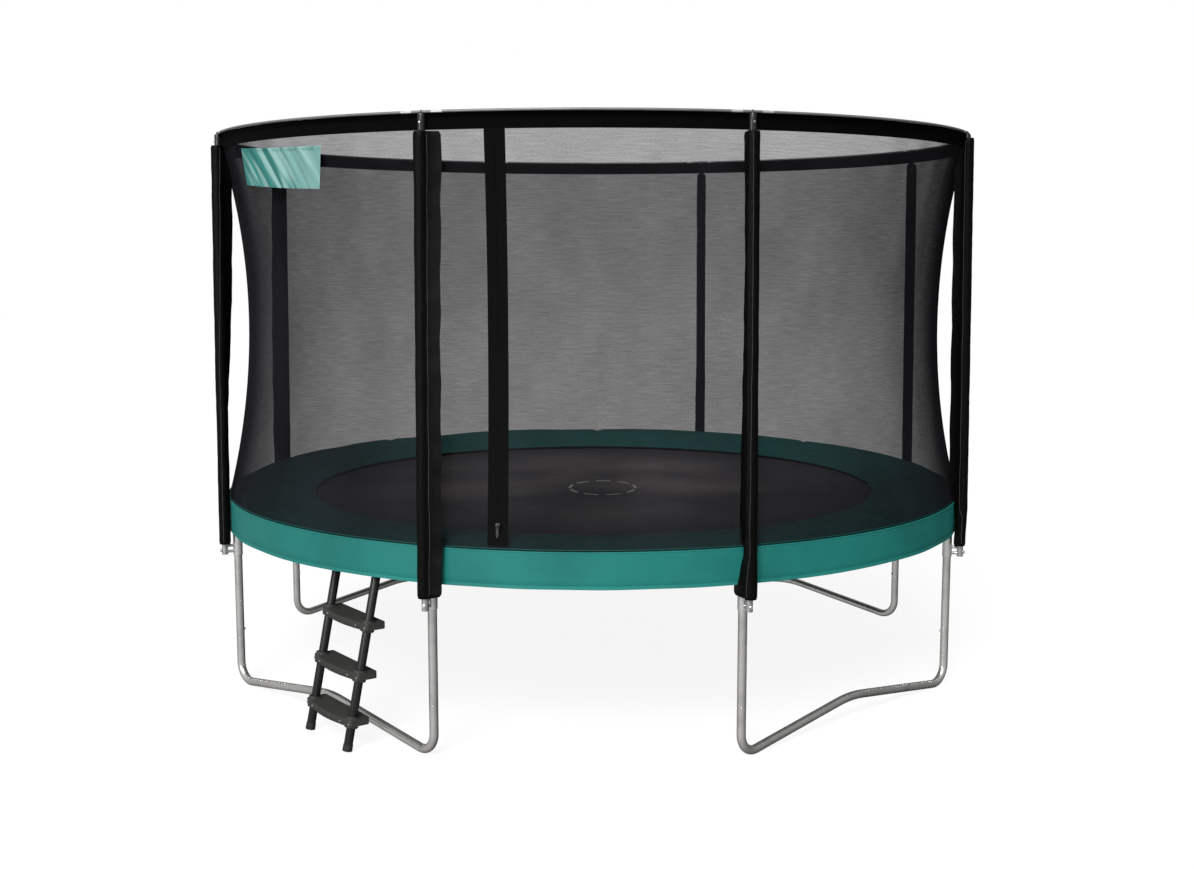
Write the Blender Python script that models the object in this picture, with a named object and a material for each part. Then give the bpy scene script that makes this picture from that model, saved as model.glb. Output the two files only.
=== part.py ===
"""Round backyard trampoline with a safety net and a ladder.

Metres, +Z up. The origin is on the ground under the centre of the mat, and the doorway faces -Y.
An azimuth is an angle about +Z, counted from -Y towards +X.
"""

import math

import bmesh
import bpy
from mathutils import Matrix, Vector

# Ring of frame rails and the eight posts
GAP = 0.0003
FRAME_R = 1.810
FRAME_Z = 0.845
RAIL_R = 0.019
RAIL_BORE_R = 0.0173
POST_AZIMUTHS = [math.radians(a) for a in (20.45, 69.55, 110.45, 159.55, 200.45, 249.55, 290.45, 339.55)]
STRAIGHT = math.radians(3.0)  # the frame is straight this far each side of a post
LEG_BAY_STEPS = 8  # between the two posts of one leg
OPEN_BAY_STEPS = 6  # between two legs
POST_R = FRAME_R * math.cos(STRAIGHT)

# T-sections and legs
SOCKET_R = 0.022
SOCKET_LOW_Z = 0.627
SOCKET_BORE_TOP_Z = 0.795
SLEEVE_HALF = 0.092
LEG_TOP_Z = 0.780
LEG_JOINT_Z = 0.221
SPIGOT_R = 0.0155
SPIGOT_BORE_R = 0.0135
SPIGOT_TOP_Z = 0.300
FOOT_BEND_R = 0.083
APEX_Z = 0.107
TUBE_SIDES = 8
FLAT = math.cos(math.pi / TUBE_SIDES)  # distance of a tube's flats from its axis, as a share of its radius

# Net poles and their padded sleeves
POLE_R = 0.015
POLE_BORE_R = 0.0135
POLE_LOW = (1.868, 0.632)  # radius and height
POLE_HIGH = (1.842, 2.6040)
PAD_SLEEVE_R = 0.027
PAD_SLEEVE_Z = (0.684, 2.536)
SPACER_Z = ((0.640, 0.652), (0.668, 0.680))
SPACER_HALF_WIDTH = 0.011

# Top ring and net
RING_R = 1.840
RING_Z = 2.6100
RING_TUBE_R = 0.0055
NET_WAIST_R = 1.715
NET_WAIST_Z = 1.740
NET_CURVE_R = 3.200
NET_LOW_Z = 0.897
NET_BAND_Z = (2.545, 2.602)
NET_THICKNESS = 0.0015
NET_ROWS = 7
NET_SEAMS = {"front": -60.0, "right": 60.0, "left": 180.0}  # where each of the three panels starts

# Doorway zip, flat in the plane x = ZIP_X
ZIP_X = -0.355
ZIP_HALF_WIDTH = 0.040
ZIP_OFFSET = 0.0008
ZIP_THICKNESS = 0.0012
SLIDER_OFFSET = 0.0065
SLIDER_SIZE = (0.022, 0.008, 0.034)
SLIDER_REST_Z = 0.980

# Mat, springs and pad
MAT_R = 1.590
MAT_Z = (0.859, 0.862)
SPRING_COUNT = 72
SPRING_Z = (0.850, 0.862)
SPRING_HALF_WIDTH = 0.008
SPRING_RING_R = (1.600, 1.606)
SPRING_END_R = 1.783
PAD_IN_R = 1.4165
PAD_IN_Z = (0.8655, 0.8865)
PAD_OUT_R = 1.8342
PAD_OUT_Z = (0.8745, 0.8945)
PAD_EDGE = 0.005
PAD_CROWN = (1.742, 0.9300)
SKIRT_R = 1.837
SKIRT_Z = (0.739, 0.8905)
SKIRT_THICKNESS = 0.0025

# Banner
BANNER_AZIMUTHS = (-57.0, -36.5)
BANNER_Z = (2.345, 2.505)
BANNER_R = (1.8185, 1.8200)

# Ladder: it stands turned a little from the radial direction
LADDER_AZIMUTH = math.radians(-34.92)
LADDER_FACING = math.radians(-53.0)
LADDER_TOP_R = 1.6975  # radius of the middle of the ladder at LADDER_REF_Z
LADDER_REF_Z = 0.830
LADDER_LEAN = math.radians(11.725)
LADDER_HALF_WIDTH = 0.176
LADDER_RAIL_R = 0.019
LADDER_BORE_R = 0.017
LADDER_RAIL_TOP_Z = 0.800
LADDER_FOOT_CLEAR = 0.0005
LADDER_PLUG = 0.030
HOOK_WIRE_R = 0.004
HOOK_R = 0.0238
TREAD_HEIGHTS = (0.126, 0.317, 0.5225)
TREAD_THICKNESS = 0.032
TREAD_FRONT = 0.046
TREAD_BULGE = 0.020
TREAD_BACK = 0.068
TREAD_OVERHANG = 0.030
TREAD_CORNER = 0.013
COLLAR_R = 0.0295
COLLAR_HALF_HEIGHT = 0.024

UP = Vector((0.0, 0.0, 1.0))


# ---------------------------------------------------------------- helpers


def clear_scene():
    for obj in list(bpy.data.objects):
        bpy.data.objects.remove(obj, do_unlink=True)


def material(name, colour, roughness, metallic=0.0):
    made = bpy.data.materials.new(name)
    made.use_nodes = True
    shader = made.node_tree.nodes["Principled BSDF"]
    shader.inputs["Base Color"].default_value = (*colour, 1.0)
    shader.inputs["Roughness"].default_value = roughness
    shader.inputs["Metallic"].default_value = metallic
    return made


def around(azimuth, radius, z):
    return Vector((radius * math.sin(azimuth), -radius * math.cos(azimuth), z))


def mesh_of(name, points, faces):
    mesh = bpy.data.meshes.new(name)
    mesh.from_pydata([tuple(p) for p in points], [], faces)
    build = bmesh.new()
    build.from_mesh(mesh)
    bmesh.ops.recalc_face_normals(build, faces=build.faces)
    build.to_mesh(mesh)
    build.free()
    return mesh


def place(name, mesh, look, azimuth=0.0, parent=None):
    obj = bpy.data.objects.new(name, mesh)
    bpy.context.collection.objects.link(obj)
    if not mesh.materials:
        mesh.materials.append(look)
    obj.rotation_euler.z = azimuth
    obj.parent = parent
    mesh.shade_smooth()
    mesh.set_sharp_from_angle(angle=math.radians(50))
    return obj


def empty(name, location):
    obj = bpy.data.objects.new(name, None)
    obj.location = location
    bpy.context.collection.objects.link(obj)
    return obj


def combined(first, second, operation):
    """A new mesh: the Boolean of two meshes, which are removed."""
    first_obj = bpy.data.objects.new("boolean_base", first)
    second_obj = bpy.data.objects.new("boolean_tool", second)
    for obj in (first_obj, second_obj):
        bpy.context.collection.objects.link(obj)
    cut = first_obj.modifiers.new("cut", "BOOLEAN")
    cut.operation = operation
    cut.object = second_obj
    graph = bpy.context.evaluated_depsgraph_get()
    result = bpy.data.meshes.new_from_object(first_obj.evaluated_get(graph))
    for obj in (first_obj, second_obj):
        used = obj.data
        bpy.data.objects.remove(obj, do_unlink=True)
        bpy.data.meshes.remove(used)
    return result


def loops_mesh(name, loops, closed):
    """Skins equal rings of points one after another; closed joins the last ring to the first."""
    count = len(loops[0])
    points = [p for loop in loops for p in loop]
    faces = []
    last = len(loops) if closed else len(loops) - 1
    for i in range(last):
        a, b = i * count, (i + 1) % len(loops) * count
        for k in range(count):
            n = (k + 1) % count
            faces.append((a + k, a + n, b + n, b + k))
    if not closed:
        faces.append(tuple(range(count)))
        faces.append(tuple((len(loops) - 1) * count + k for k in range(count)))
    return mesh_of(name, points, faces)


def directions(path):
    """Unit tangent and mitre stretch at each point of a path."""
    found = []
    for i, point in enumerate(path):
        before = (point - path[i - 1]).normalized() if i else None
        after = (path[i + 1] - point).normalized() if i + 1 < len(path) else None
        if before is None or after is None:
            found.append((after or before, 1.0))
        else:
            tangent = (before + after).normalized()
            found.append((tangent, 1.0 / max(tangent.dot(after), 0.5)))
    return found


def section_rings(path, radii, side, sides):
    """One polygon round each point of a flat path; side is the normal of the path's plane."""
    rings = []
    for point, radius, (tangent, stretch) in zip(path, radii, directions(path)):
        other = side.cross(tangent).normalized()
        ring = []
        for k in range(sides):
            turn = 2 * math.pi * (k + 0.5) / sides
            ring.append(point + side * radius * math.cos(turn) + other * radius * stretch * math.sin(turn))
        rings.append(ring)
    return rings


def hollow_tube(name, path, outer, inner, side, sides=TUBE_SIDES):
    """A tube that is open at both ends. outer and inner hold one radius for each point."""
    skin = section_rings(path, outer, side, sides)
    bore = section_rings(path, inner, side, sides)
    return loops_mesh(name, skin + bore[::-1], closed=True)


def solid_tube(name, path, radius, side, sides=TUBE_SIDES):
    return loops_mesh(name, section_rings(path, [radius] * len(path), side, sides), closed=False)


def capped_tube(name, low, high, radius, bore, plug, side, sides=TUBE_SIDES):
    """A straight tube, open at its low end and closed by a plug at its high end."""
    axis = (high - low).normalized()
    skin = section_rings([low, high], [radius] * 2, side, sides)
    hole = section_rings([low, high - axis * plug], [bore] * 2, side, sides)
    count = sides
    points = [p for ring in (*skin, *hole) for p in ring]
    faces = [tuple(count + k for k in range(count)), tuple(3 * count + k for k in range(count))]
    for k in range(count):
        n = (k + 1) % count
        faces.append((k, n, count + n, count + k))
        faces.append((2 * count + k, 2 * count + n, 3 * count + n, 3 * count + k))
        faces.append((k, n, 2 * count + n, 2 * count + k))
    return mesh_of(name, points, faces)


def box_mesh(name, low, high):
    corners = [(x, y, z) for x in (low[0], high[0]) for y in (low[1], high[1]) for z in (low[2], high[2])]
    faces = [(0, 1, 3, 2), (4, 6, 7, 5), (0, 4, 5, 1), (2, 3, 7, 6), (0, 2, 6, 4), (1, 5, 7, 3)]
    return mesh_of(name, corners, faces)


def bay_azimuths(bay):
    """Azimuths of the frame's corners from just after one post to just before the next."""
    start = POST_AZIMUTHS[bay] + STRAIGHT
    following = POST_AZIMUTHS[(bay + 1) % 8]
    end = following - STRAIGHT + (2 * math.pi if following < start else 0.0)
    steps = LEG_BAY_STEPS if bay % 2 == 0 else OPEN_BAY_STEPS
    return [start + (end - start) * k / steps for k in range(steps + 1)]


def ring_azimuths():
    """Every corner azimuth once, in order, for the pieces that follow the frame all the way round."""
    return [azimuth for bay in range(8) for azimuth in bay_azimuths(bay)]


def turned(name, profile):
    """A closed outline of (radius, height) points, carried round all the frame's corners."""
    return loops_mesh(name, [[around(a, r, z) for r, z in profile] for a in ring_azimuths()], closed=True)


# ---------------------------------------------------------------- frame and legs


def build_frame_rails(steel):
    clear_of_middle = 0.002
    for bay in range(8):
        corners = bay_azimuths(bay)
        middle = (corners[0] + corners[-1]) / 2
        turn = Matrix.Rotation(-middle, 3, "Z")
        path = [turn @ around(a, FRAME_R, FRAME_Z) for a in corners]
        half = (corners[-1] - corners[0]) / 2 + STRAIGHT
        ends = []
        for sign in (-1, 1):
            post = around(sign * half, POST_R, FRAME_Z)
            along = Vector((math.cos(half), sign * math.sin(half), 0.0)) * -sign
            ends.append(post + along * clear_of_middle)
        path = [ends[0], *path, ends[1]]
        count = len(path)
        mesh = hollow_tube(f"frame_rail_{bay + 1}", path, [RAIL_R] * count, [RAIL_BORE_R] * count, UP)
        place(f"frame_rail_{bay + 1}", mesh, steel, middle)


def t_section_mesh():
    """A straight sleeve for two rail ends, with a socket under it for the leg."""
    side = Vector((0.0, 1.0, 0.0))
    middle = Vector((0.0, -POST_R, FRAME_Z))
    reach = Vector((SLEEVE_HALF, 0.0, 0.0))
    low = Vector((0.0, -POST_R, SOCKET_LOW_Z))
    sleeve = solid_tube("sleeve", [middle - reach, middle + reach], SOCKET_R, UP)
    socket = solid_tube("socket", [low, middle], SOCKET_R, side)
    body = combined(sleeve, socket, "UNION")
    bore = solid_tube("bore", [middle - reach * 1.2, middle + reach * 1.2], RAIL_R + GAP, UP)
    body = combined(body, bore, "DIFFERENCE")
    bore_top = Vector((0.0, -POST_R, SOCKET_BORE_TOP_Z))
    bore = solid_tube("bore", [low - UP * 0.02, bore_top], RAIL_R + GAP, side)
    return combined(body, bore, "DIFFERENCE")


def build_t_sections(steel):
    mesh = t_section_mesh()
    mesh.materials.clear()
    for number, azimuth in enumerate(POST_AZIMUTHS, 1):
        place(f"t_section_{number}", mesh, steel, azimuth)


def build_leg_extensions(steel):
    low = Vector((0.0, -POST_R, LEG_JOINT_Z))
    high = Vector((0.0, -POST_R, LEG_TOP_Z))
    side = Vector((0.0, 1.0, 0.0))
    mesh = hollow_tube("leg_extension", [low, high], [RAIL_R] * 2, [RAIL_BORE_R] * 2, side)
    for number, azimuth in enumerate(POST_AZIMUTHS, 1):
        place(f"leg_extension_{number}", mesh, steel, azimuth)


def leg_outline(half):
    """Stations of one half of a leg base, from its spigot down and in to the apex: x, z, radius, bore."""
    shoulder = LEG_JOINT_Z - GAP
    rise = math.degrees(math.atan2(APEX_Z - RAIL_R, half - FOOT_BEND_R))
    bend_z = RAIL_R * FLAT + FOOT_BEND_R * math.cos(math.radians(rise))
    stations = [
        (0.0, SPIGOT_TOP_Z, SPIGOT_R, SPIGOT_BORE_R),
        (0.0, shoulder, SPIGOT_R, SPIGOT_BORE_R),
        (0.0, shoulder - GAP, RAIL_R, SPIGOT_BORE_R),
        (0.0, shoulder - RAIL_R, RAIL_R, RAIL_BORE_R),
    ]
    for turn in (180, 205, 234, 270 - rise, 270 + rise):  # the last two span a level foot
        angle = math.radians(turn)
        x = FOOT_BEND_R + FOOT_BEND_R * math.cos(angle)
        z = bend_z + FOOT_BEND_R * math.sin(angle)
        stations.append((x, z, RAIL_R, RAIL_BORE_R))
    return stations


def leg_base_mesh():
    span = (POST_AZIMUTHS[1] - POST_AZIMUTHS[0]) / 2
    half = POST_R * math.sin(span)
    chord_y = -POST_R * math.cos(span)
    left = leg_outline(half)
    stations = [(x - half, z, r, b) for x, z, r, b in left]
    stations.append((0.0, APEX_Z, RAIL_R, RAIL_BORE_R))
    stations += [(half - x, z, r, b) for x, z, r, b in left[::-1]]
    path = [Vector((x, chord_y, z)) for x, z, _, _ in stations]
    outer = [r for _, _, r, _ in stations]
    inner = [b for _, _, _, b in stations]
    return hollow_tube("leg_base", path, outer, inner, Vector((0.0, 1.0, 0.0)))


def build_leg_bases(steel):
    mesh = leg_base_mesh()
    for number in range(4):
        middle = (POST_AZIMUTHS[2 * number] + POST_AZIMUTHS[2 * number + 1]) / 2
        place(f"leg_base_{number + 1}", mesh, steel, middle)


# ---------------------------------------------------------------- poles, ring and net


def pole_radius_at(z):
    share = (z - POLE_LOW[1]) / (POLE_HIGH[1] - POLE_LOW[1])
    return POLE_LOW[0] + (POLE_HIGH[0] - POLE_LOW[0]) * share


def pole_point(z):
    return Vector((0.0, -pole_radius_at(z), z))


def build_poles(steel):
    side = Vector((1.0, 0.0, 0.0))
    mesh = capped_tube("pole", pole_point(POLE_LOW[1]), pole_point(POLE_HIGH[1]), POLE_R, POLE_BORE_R, 0.02, side)
    for low_z, high_z in SPACER_Z:
        outer_y = -pole_radius_at(low_z) + (POLE_R + POLE_BORE_R) / 2 * FLAT
        inner_y = -POST_R - SOCKET_R * FLAT - GAP
        spacer = box_mesh("spacer", (-SPACER_HALF_WIDTH, outer_y, low_z), (SPACER_HALF_WIDTH, inner_y, high_z))
        mesh = combined(mesh, spacer, "UNION")
    mesh.materials.clear()
    for number, azimuth in enumerate(POST_AZIMUTHS, 1):
        place(f"net_pole_{number}", mesh, steel, azimuth)


def build_pole_sleeves(foam):
    path = [pole_point(z) for z in PAD_SLEEVE_Z]
    side = Vector((1.0, 0.0, 0.0))
    mesh = hollow_tube("sleeve", path, [PAD_SLEEVE_R] * 2, [POLE_R + 2 * GAP] * 2, side)
    for number, azimuth in enumerate(POST_AZIMUTHS, 1):
        place(f"pole_sleeve_{number}", mesh, foam, azimuth)


def build_top_ring(steel):
    profile = [
        (RING_R + RING_TUBE_R * math.cos(t), RING_Z + RING_TUBE_R * math.sin(t))
        for t in (math.pi * k / 3 + math.pi / 6 for k in range(6))
    ]
    place("top_ring", turned("top_ring", profile), steel)


def net_radius(z):
    return NET_WAIST_R + NET_CURVE_R - math.sqrt(NET_CURVE_R**2 - (z - NET_WAIST_Z) ** 2)


def net_rows():
    """(radius, height) down the net's outer face, with its top band upright."""
    low, high = NET_LOW_Z, NET_BAND_Z[0]
    rows = [(net_radius(z), z) for z in (low + (high - low) * k / NET_ROWS for k in range(NET_ROWS + 1))]
    return [*rows, (net_radius(high), NET_BAND_Z[1])]


def build_net(mesh_cloth):
    rows = net_rows()
    outline = rows + [(r - NET_THICKNESS, z) for r, z in rows[::-1]]
    everywhere = ring_azimuths()
    seam = 0.0003
    for name, first in NET_SEAMS.items():
        start = math.radians(first)
        end = start + 2 * math.pi / 3
        inside = [a + turn for turn in (-2 * math.pi, 0, 2 * math.pi) for a in everywhere]
        inside = [a for a in inside if start + 0.01 < a < end - 0.01]
        azimuths = [start + seam, *inside, end - seam]
        loops = [[around(a, r, z) for r, z in outline] for a in azimuths]
        place(f"net_{name}", loops_mesh(name, loops, closed=False), mesh_cloth)


def build_zip_band(webbing):
    """The doorway's webbing, lying just outside the net, between two upright lines."""
    middle = 2 * math.pi + math.asin(ZIP_X / NET_WAIST_R)
    corner = min(ring_azimuths(), key=lambda azimuth: abs(azimuth - middle))
    loops = []
    for radius, z in net_rows()[:-1]:
        inner = radius + ZIP_OFFSET
        columns = [math.asin((ZIP_X - ZIP_HALF_WIDTH) / inner), corner, math.asin((ZIP_X + ZIP_HALF_WIDTH) / inner)]
        near = [around(a, inner, z) for a in columns]
        far = [around(a, inner + ZIP_THICKNESS, z) for a in columns[::-1]]
        loops.append(near + far)
    place("zip_band", loops_mesh("zip_band", loops, closed=False), webbing)


def zip_arc():
    """Centre height, radius and waist y of the zip's arc in the plane x = ZIP_X."""
    waist_y = -math.sqrt(NET_WAIST_R**2 - ZIP_X**2)
    return waist_y, NET_CURVE_R * -waist_y / NET_WAIST_R


def build_zip_slider(steel):
    waist_y, radius = zip_arc()
    pivot = Vector((ZIP_X, waist_y - radius, NET_WAIST_Z))
    holder = empty("zip_pivot", pivot)
    reach = radius - SLIDER_OFFSET
    width, depth, height = (side / 2 for side in SLIDER_SIZE)
    mesh = box_mesh("zip_slider", (-width, -depth, -height), (width, depth, height))
    facing = Matrix.Rotation(math.asin(ZIP_X / NET_WAIST_R), 4, "Z")
    mesh.transform(Matrix.Translation((0.0, reach - depth, 0.0)) @ facing)
    slider = place("zip_slider", mesh, steel, parent=holder)
    slider.rotation_euler.x = math.asin((SLIDER_REST_Z - NET_WAIST_Z) / reach)


def build_banner(cloth):
    azimuths = [math.radians(a) for a in BANNER_AZIMUTHS]
    steps = 4
    loops = []
    for k in range(steps + 1):
        azimuth = azimuths[0] + (azimuths[1] - azimuths[0]) * k / steps
        outline = [(r, z) for r, z in zip((*BANNER_R, *BANNER_R[::-1]), (BANNER_Z[0],) * 2 + (BANNER_Z[1],) * 2)]
        loops.append([around(azimuth, r, z) for r, z in outline])
    place("banner", loops_mesh("banner", loops, closed=False), cloth)


# ---------------------------------------------------------------- mat, springs and pad


def build_mat(cloth):
    loops = [[around(a, MAT_R, z) for a in ring_azimuths()] for z in MAT_Z]
    place("jumping_mat", loops_mesh("jumping_mat", loops, closed=False), cloth)


def build_springs(steel):
    """All the springs as flat bars, on the thin ring where their hooks meet the mat."""
    step = 2 * math.pi / SPRING_COUNT
    outline = []
    inner = []
    for k in range(SPRING_COUNT):
        middle = step * (k + 0.5)
        for radius, sign in ((SPRING_RING_R[1], -1), (SPRING_END_R, -1), (SPRING_END_R, 1), (SPRING_RING_R[1], 1)):
            outline.append(around(middle + sign * SPRING_HALF_WIDTH / radius, radius, 0.0))
            inner.append(around(middle + sign * SPRING_HALF_WIDTH / SPRING_RING_R[0], SPRING_RING_R[0], 0.0))
    # The two middle points of each spring's inner edge are one corner too many, so they are dropped.
    inner = [p for k, p in enumerate(inner) if k % 4 in (0, 3)]
    points = []
    for z in SPRING_Z:
        points += [p + UP * z for p in outline] + [p + UP * z for p in inner]
    across = len(outline)
    layer = across + len(inner)
    faces = []
    for k in range(SPRING_COUNT):
        o, i = 4 * k, across + 2 * k
        next_o, next_i = 4 * ((k + 1) % SPRING_COUNT), across + 2 * ((k + 1) % SPRING_COUNT)
        for face in ((o, o + 1, o + 2, o + 3, i + 1, i), (o + 3, next_o, next_i, i + 1)):
            faces.append(face)
            faces.append(tuple(layer + v for v in face[::-1]))
        for a, b in ((o, o + 1), (o + 1, o + 2), (o + 2, o + 3), (o + 3, next_o), (i + 1, i), (next_i, i + 1)):
            faces.append((a, b, layer + b, layer + a))
    place("springs", mesh_of("springs", points, faces), steel)


def build_pad(vinyl):
    profile = [
        (PAD_IN_R, PAD_IN_Z[0]),
        (PAD_IN_R, PAD_IN_Z[1]),
        PAD_CROWN,
        (PAD_OUT_R - PAD_EDGE, PAD_OUT_Z[1]),
        (PAD_OUT_R, PAD_OUT_Z[1] - PAD_EDGE),
        (PAD_OUT_R, PAD_OUT_Z[0]),
    ]
    place("spring_pad", turned("spring_pad", profile), vinyl)


def build_skirt(vinyl):
    low, high = SKIRT_Z
    inner = SKIRT_R - SKIRT_THICKNESS
    profile = [(inner, low), (SKIRT_R, low), (SKIRT_R, high), (inner, high)]
    place("pad_skirt", turned("pad_skirt", profile), vinyl)


# ---------------------------------------------------------------- ladder


def ladder_frame():
    """Matrix of the ladder's own frame: x along the treads, y inwards, z up the rails, on the ground."""
    across = Vector((math.cos(LADDER_FACING), math.sin(LADDER_FACING), 0.0))
    outward = Vector((math.sin(LADDER_FACING), -math.cos(LADDER_FACING), 0.0))
    along = UP * math.cos(LADDER_LEAN) - outward * math.sin(LADDER_LEAN)
    foot = around(LADDER_AZIMUTH, LADDER_TOP_R, 0.0) + outward * LADDER_REF_Z * math.tan(LADDER_LEAN)
    inward = along.cross(across)
    return Matrix((
        (across.x, inward.x, along.x, foot.x),
        (across.y, inward.y, along.y, foot.y),
        (across.z, inward.z, along.z, foot.z),
        (0.0, 0.0, 0.0, 1.0),
    ))


def hook_places(frame):
    """Where each hook crosses the middle of the frame rail, seen along the ladder's facing."""
    outward = Vector((math.sin(LADDER_FACING), -math.cos(LADDER_FACING), 0.0))
    places = []
    for sign in (-1, 1):
        top = frame @ Vector((sign * LADDER_HALF_WIDTH, 0.0, LADDER_RAIL_TOP_Z / math.cos(LADDER_LEAN)))
        flat = Vector((top.x, top.y, 0.0))
        b = flat.dot(outward)
        reach = -b + math.sqrt(b * b - flat.length_squared + FRAME_R**2)
        places.append(flat + outward * reach + UP * FRAME_Z)
    return places


def frame_radius(azimuth):
    """Radius of the rails' middle line at an azimuth, on the straight runs between their corners."""
    azimuth %= 2 * math.pi
    corners = ring_azimuths()
    before = max(a for a in corners + [corners[-1] - 2 * math.pi] if a <= azimuth)
    after = min(a for a in corners + [corners[0] + 2 * math.pi] if a > azimuth)
    middle = (before + after) / 2
    return FRAME_R * math.cos((after - before) / 2) / math.cos(azimuth - middle)


def hook_path(frame, sign, hook):
    """From inside the top of a ladder rail, up the inner side of the frame rail and over it."""
    height = LADDER_RAIL_TOP_Z / math.cos(LADDER_LEAN)
    axis = frame.to_3x3() @ UP
    start = frame @ Vector((sign * LADDER_HALF_WIDTH, 0.0, height))
    azimuth = math.atan2(hook.x, -hook.y)
    radius = frame_radius(azimuth)
    over = []
    for turn in (180, 150, 120, 90, 60, 45):
        angle = math.radians(turn)
        over.append(around(azimuth, radius + HOOK_R * math.cos(angle), FRAME_Z + HOOK_R * math.sin(angle)))
    below = over[0] - UP * 0.012
    rise = start + axis * 0.012
    return [start - axis * LADDER_PLUG * 0.6, start, rise, below, *over]


def wire_mesh(name, path, radius, sides=6):
    """A round wire along any path, its section carried along without twist."""
    rings = []
    tangent_before = None
    side = None
    for point, (tangent, _) in zip(path, directions(path)):
        if side is None:
            side = tangent.orthogonal().normalized()
        else:
            side = tangent_before.rotation_difference(tangent) @ side
        other = tangent.cross(side).normalized()
        turns = [2 * math.pi * k / sides for k in range(sides)]
        rings.append([point + (side * math.cos(t) + other * math.sin(t)) * radius for t in turns])
        tangent_before = tangent
    return loops_mesh(name, rings, closed=False)


def tread_mesh():
    """One level tread with a sloping collar at each end, bored for the rails. -Y is its front."""
    half = LADDER_HALF_WIDTH
    end = half + TREAD_OVERHANG
    corner = TREAD_CORNER
    front = []
    steps = 8
    for k in range(steps + 1):
        share = k / steps
        x = half - 2 * half * share
        front.append((x, TREAD_FRONT - TREAD_BULGE + TREAD_BULGE * math.sin(math.pi * share)))
    shoulder = TREAD_FRONT - TREAD_BULGE - 0.001
    outline = [(-end, corner - TREAD_BACK), (corner - end, -TREAD_BACK), (end - corner, -TREAD_BACK)]
    outline += [(end, corner - TREAD_BACK), (end, shoulder - corner), (end - corner, shoulder), *front]
    outline += [(corner - end, shoulder), (-end, shoulder - corner)]
    loops = [[Vector((x, -y, z)) for x, y in outline] for z in (-TREAD_THICKNESS / 2, TREAD_THICKNESS / 2)]
    body = loops_mesh("tread", loops, closed=False)
    side = Vector((1.0, 0.0, 0.0))
    slope = Vector((0.0, math.sin(LADDER_LEAN), math.cos(LADDER_LEAN)))
    for sign in (-1, 1):
        middle = Vector((sign * half, 0.0, 0.0))
        reach = slope * COLLAR_HALF_HEIGHT
        collar = solid_tube("collar", [middle - reach, middle + reach], COLLAR_R, side)
        body = combined(body, collar, "UNION")
    for sign in (-1, 1):
        middle = Vector((sign * half, 0.0, 0.0))
        hole = solid_tube("hole", [middle - slope * 0.1, middle + slope * 0.1], LADDER_RAIL_R + GAP, side)
        body = combined(body, hole, "DIFFERENCE")
    return body


def build_ladder(steel, plastic):
    frame = ladder_frame()
    hooks = hook_places(frame)
    pivot = (hooks[0] + hooks[1]) / 2
    holder = empty("ladder_pivot", pivot)
    bpy.context.view_layer.update()
    level_turn = Matrix.Rotation(LADDER_FACING, 4, "Z")
    side = frame.to_3x3() @ Vector((1.0, 0.0, 0.0))
    drop = (LADDER_RAIL_R * math.sin(LADDER_LEAN) + LADDER_FOOT_CLEAR) / math.cos(LADDER_LEAN)
    height = LADDER_RAIL_TOP_Z / math.cos(LADDER_LEAN)
    for name, sign, hook in (("left", -1, hooks[0]), ("right", 1, hooks[1])):
        low = frame @ Vector((sign * LADDER_HALF_WIDTH, 0.0, drop))
        high = frame @ Vector((sign * LADDER_HALF_WIDTH, 0.0, height))
        rail = capped_tube("rail", low, high, LADDER_RAIL_R, LADDER_BORE_R, LADDER_PLUG, side)
        wire = wire_mesh("hook", hook_path(frame, sign, hook), HOOK_WIRE_R)
        rail = combined(rail, wire, "UNION")
        rail.transform(Matrix.Translation(-pivot))
        rail.materials.clear()
        place(f"ladder_rail_{name}", rail, steel, parent=holder)
    tread = tread_mesh()
    tread.materials.clear()
    for number, level in enumerate(TREAD_HEIGHTS, 1):
        obj = place(f"ladder_tread_{number}", tread, plastic, parent=holder)
        middle = frame @ Vector((0.0, 0.0, level / math.cos(LADDER_LEAN)))
        obj.matrix_local = Matrix.Translation(middle - pivot) @ level_turn


def main():
    clear_scene()
    galvanised = material("galvanised_steel", (0.62, 0.62, 0.60), 0.38, 1.0)
    pole_steel = material("pole_steel", (0.55, 0.56, 0.56), 0.35, 1.0)
    ring_steel = material("ring_steel", (0.42, 0.42, 0.42), 0.45, 1.0)
    spring_steel = material("spring_steel", (0.70, 0.70, 0.70), 0.30, 1.0)
    black_cover = material("black_cover", (0.012, 0.012, 0.013), 0.45)
    net_cloth = material("net_cloth", (0.05, 0.05, 0.055), 0.8)
    black_webbing = material("black_webbing", (0.009, 0.009, 0.009), 0.7)
    mat_cloth = material("mat_cloth", (0.022, 0.020, 0.023), 0.75)
    green_vinyl = material("green_vinyl", (0.014, 0.195, 0.180), 0.4)
    green_cloth = material("green_cloth", (0.06, 0.33, 0.30), 0.6)
    black_steel = material("black_steel", (0.018, 0.018, 0.018), 0.4, 0.3)
    black_plastic = material("black_plastic", (0.03, 0.03, 0.029), 0.55)

    build_frame_rails(galvanised)
    build_t_sections(galvanised)
    build_leg_extensions(galvanised)
    build_leg_bases(galvanised)
    build_poles(pole_steel)
    build_pole_sleeves(black_cover)
    build_top_ring(ring_steel)
    build_net(net_cloth)
    build_zip_band(black_webbing)
    build_zip_slider(spring_steel)
    build_banner(green_cloth)
    build_mat(mat_cloth)
    build_springs(spring_steel)
    build_pad(green_vinyl)
    build_skirt(green_vinyl)
    build_ladder(black_steel, black_plastic)


main()
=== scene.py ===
"""Looks of the backyard trampoline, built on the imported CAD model.

Metres, +Z up, the same frame as the CAD. An azimuth is counted from -Y towards +X.
"""

import math

import bpy
import numpy as np
from mathutils import Matrix, Vector, noise


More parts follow.
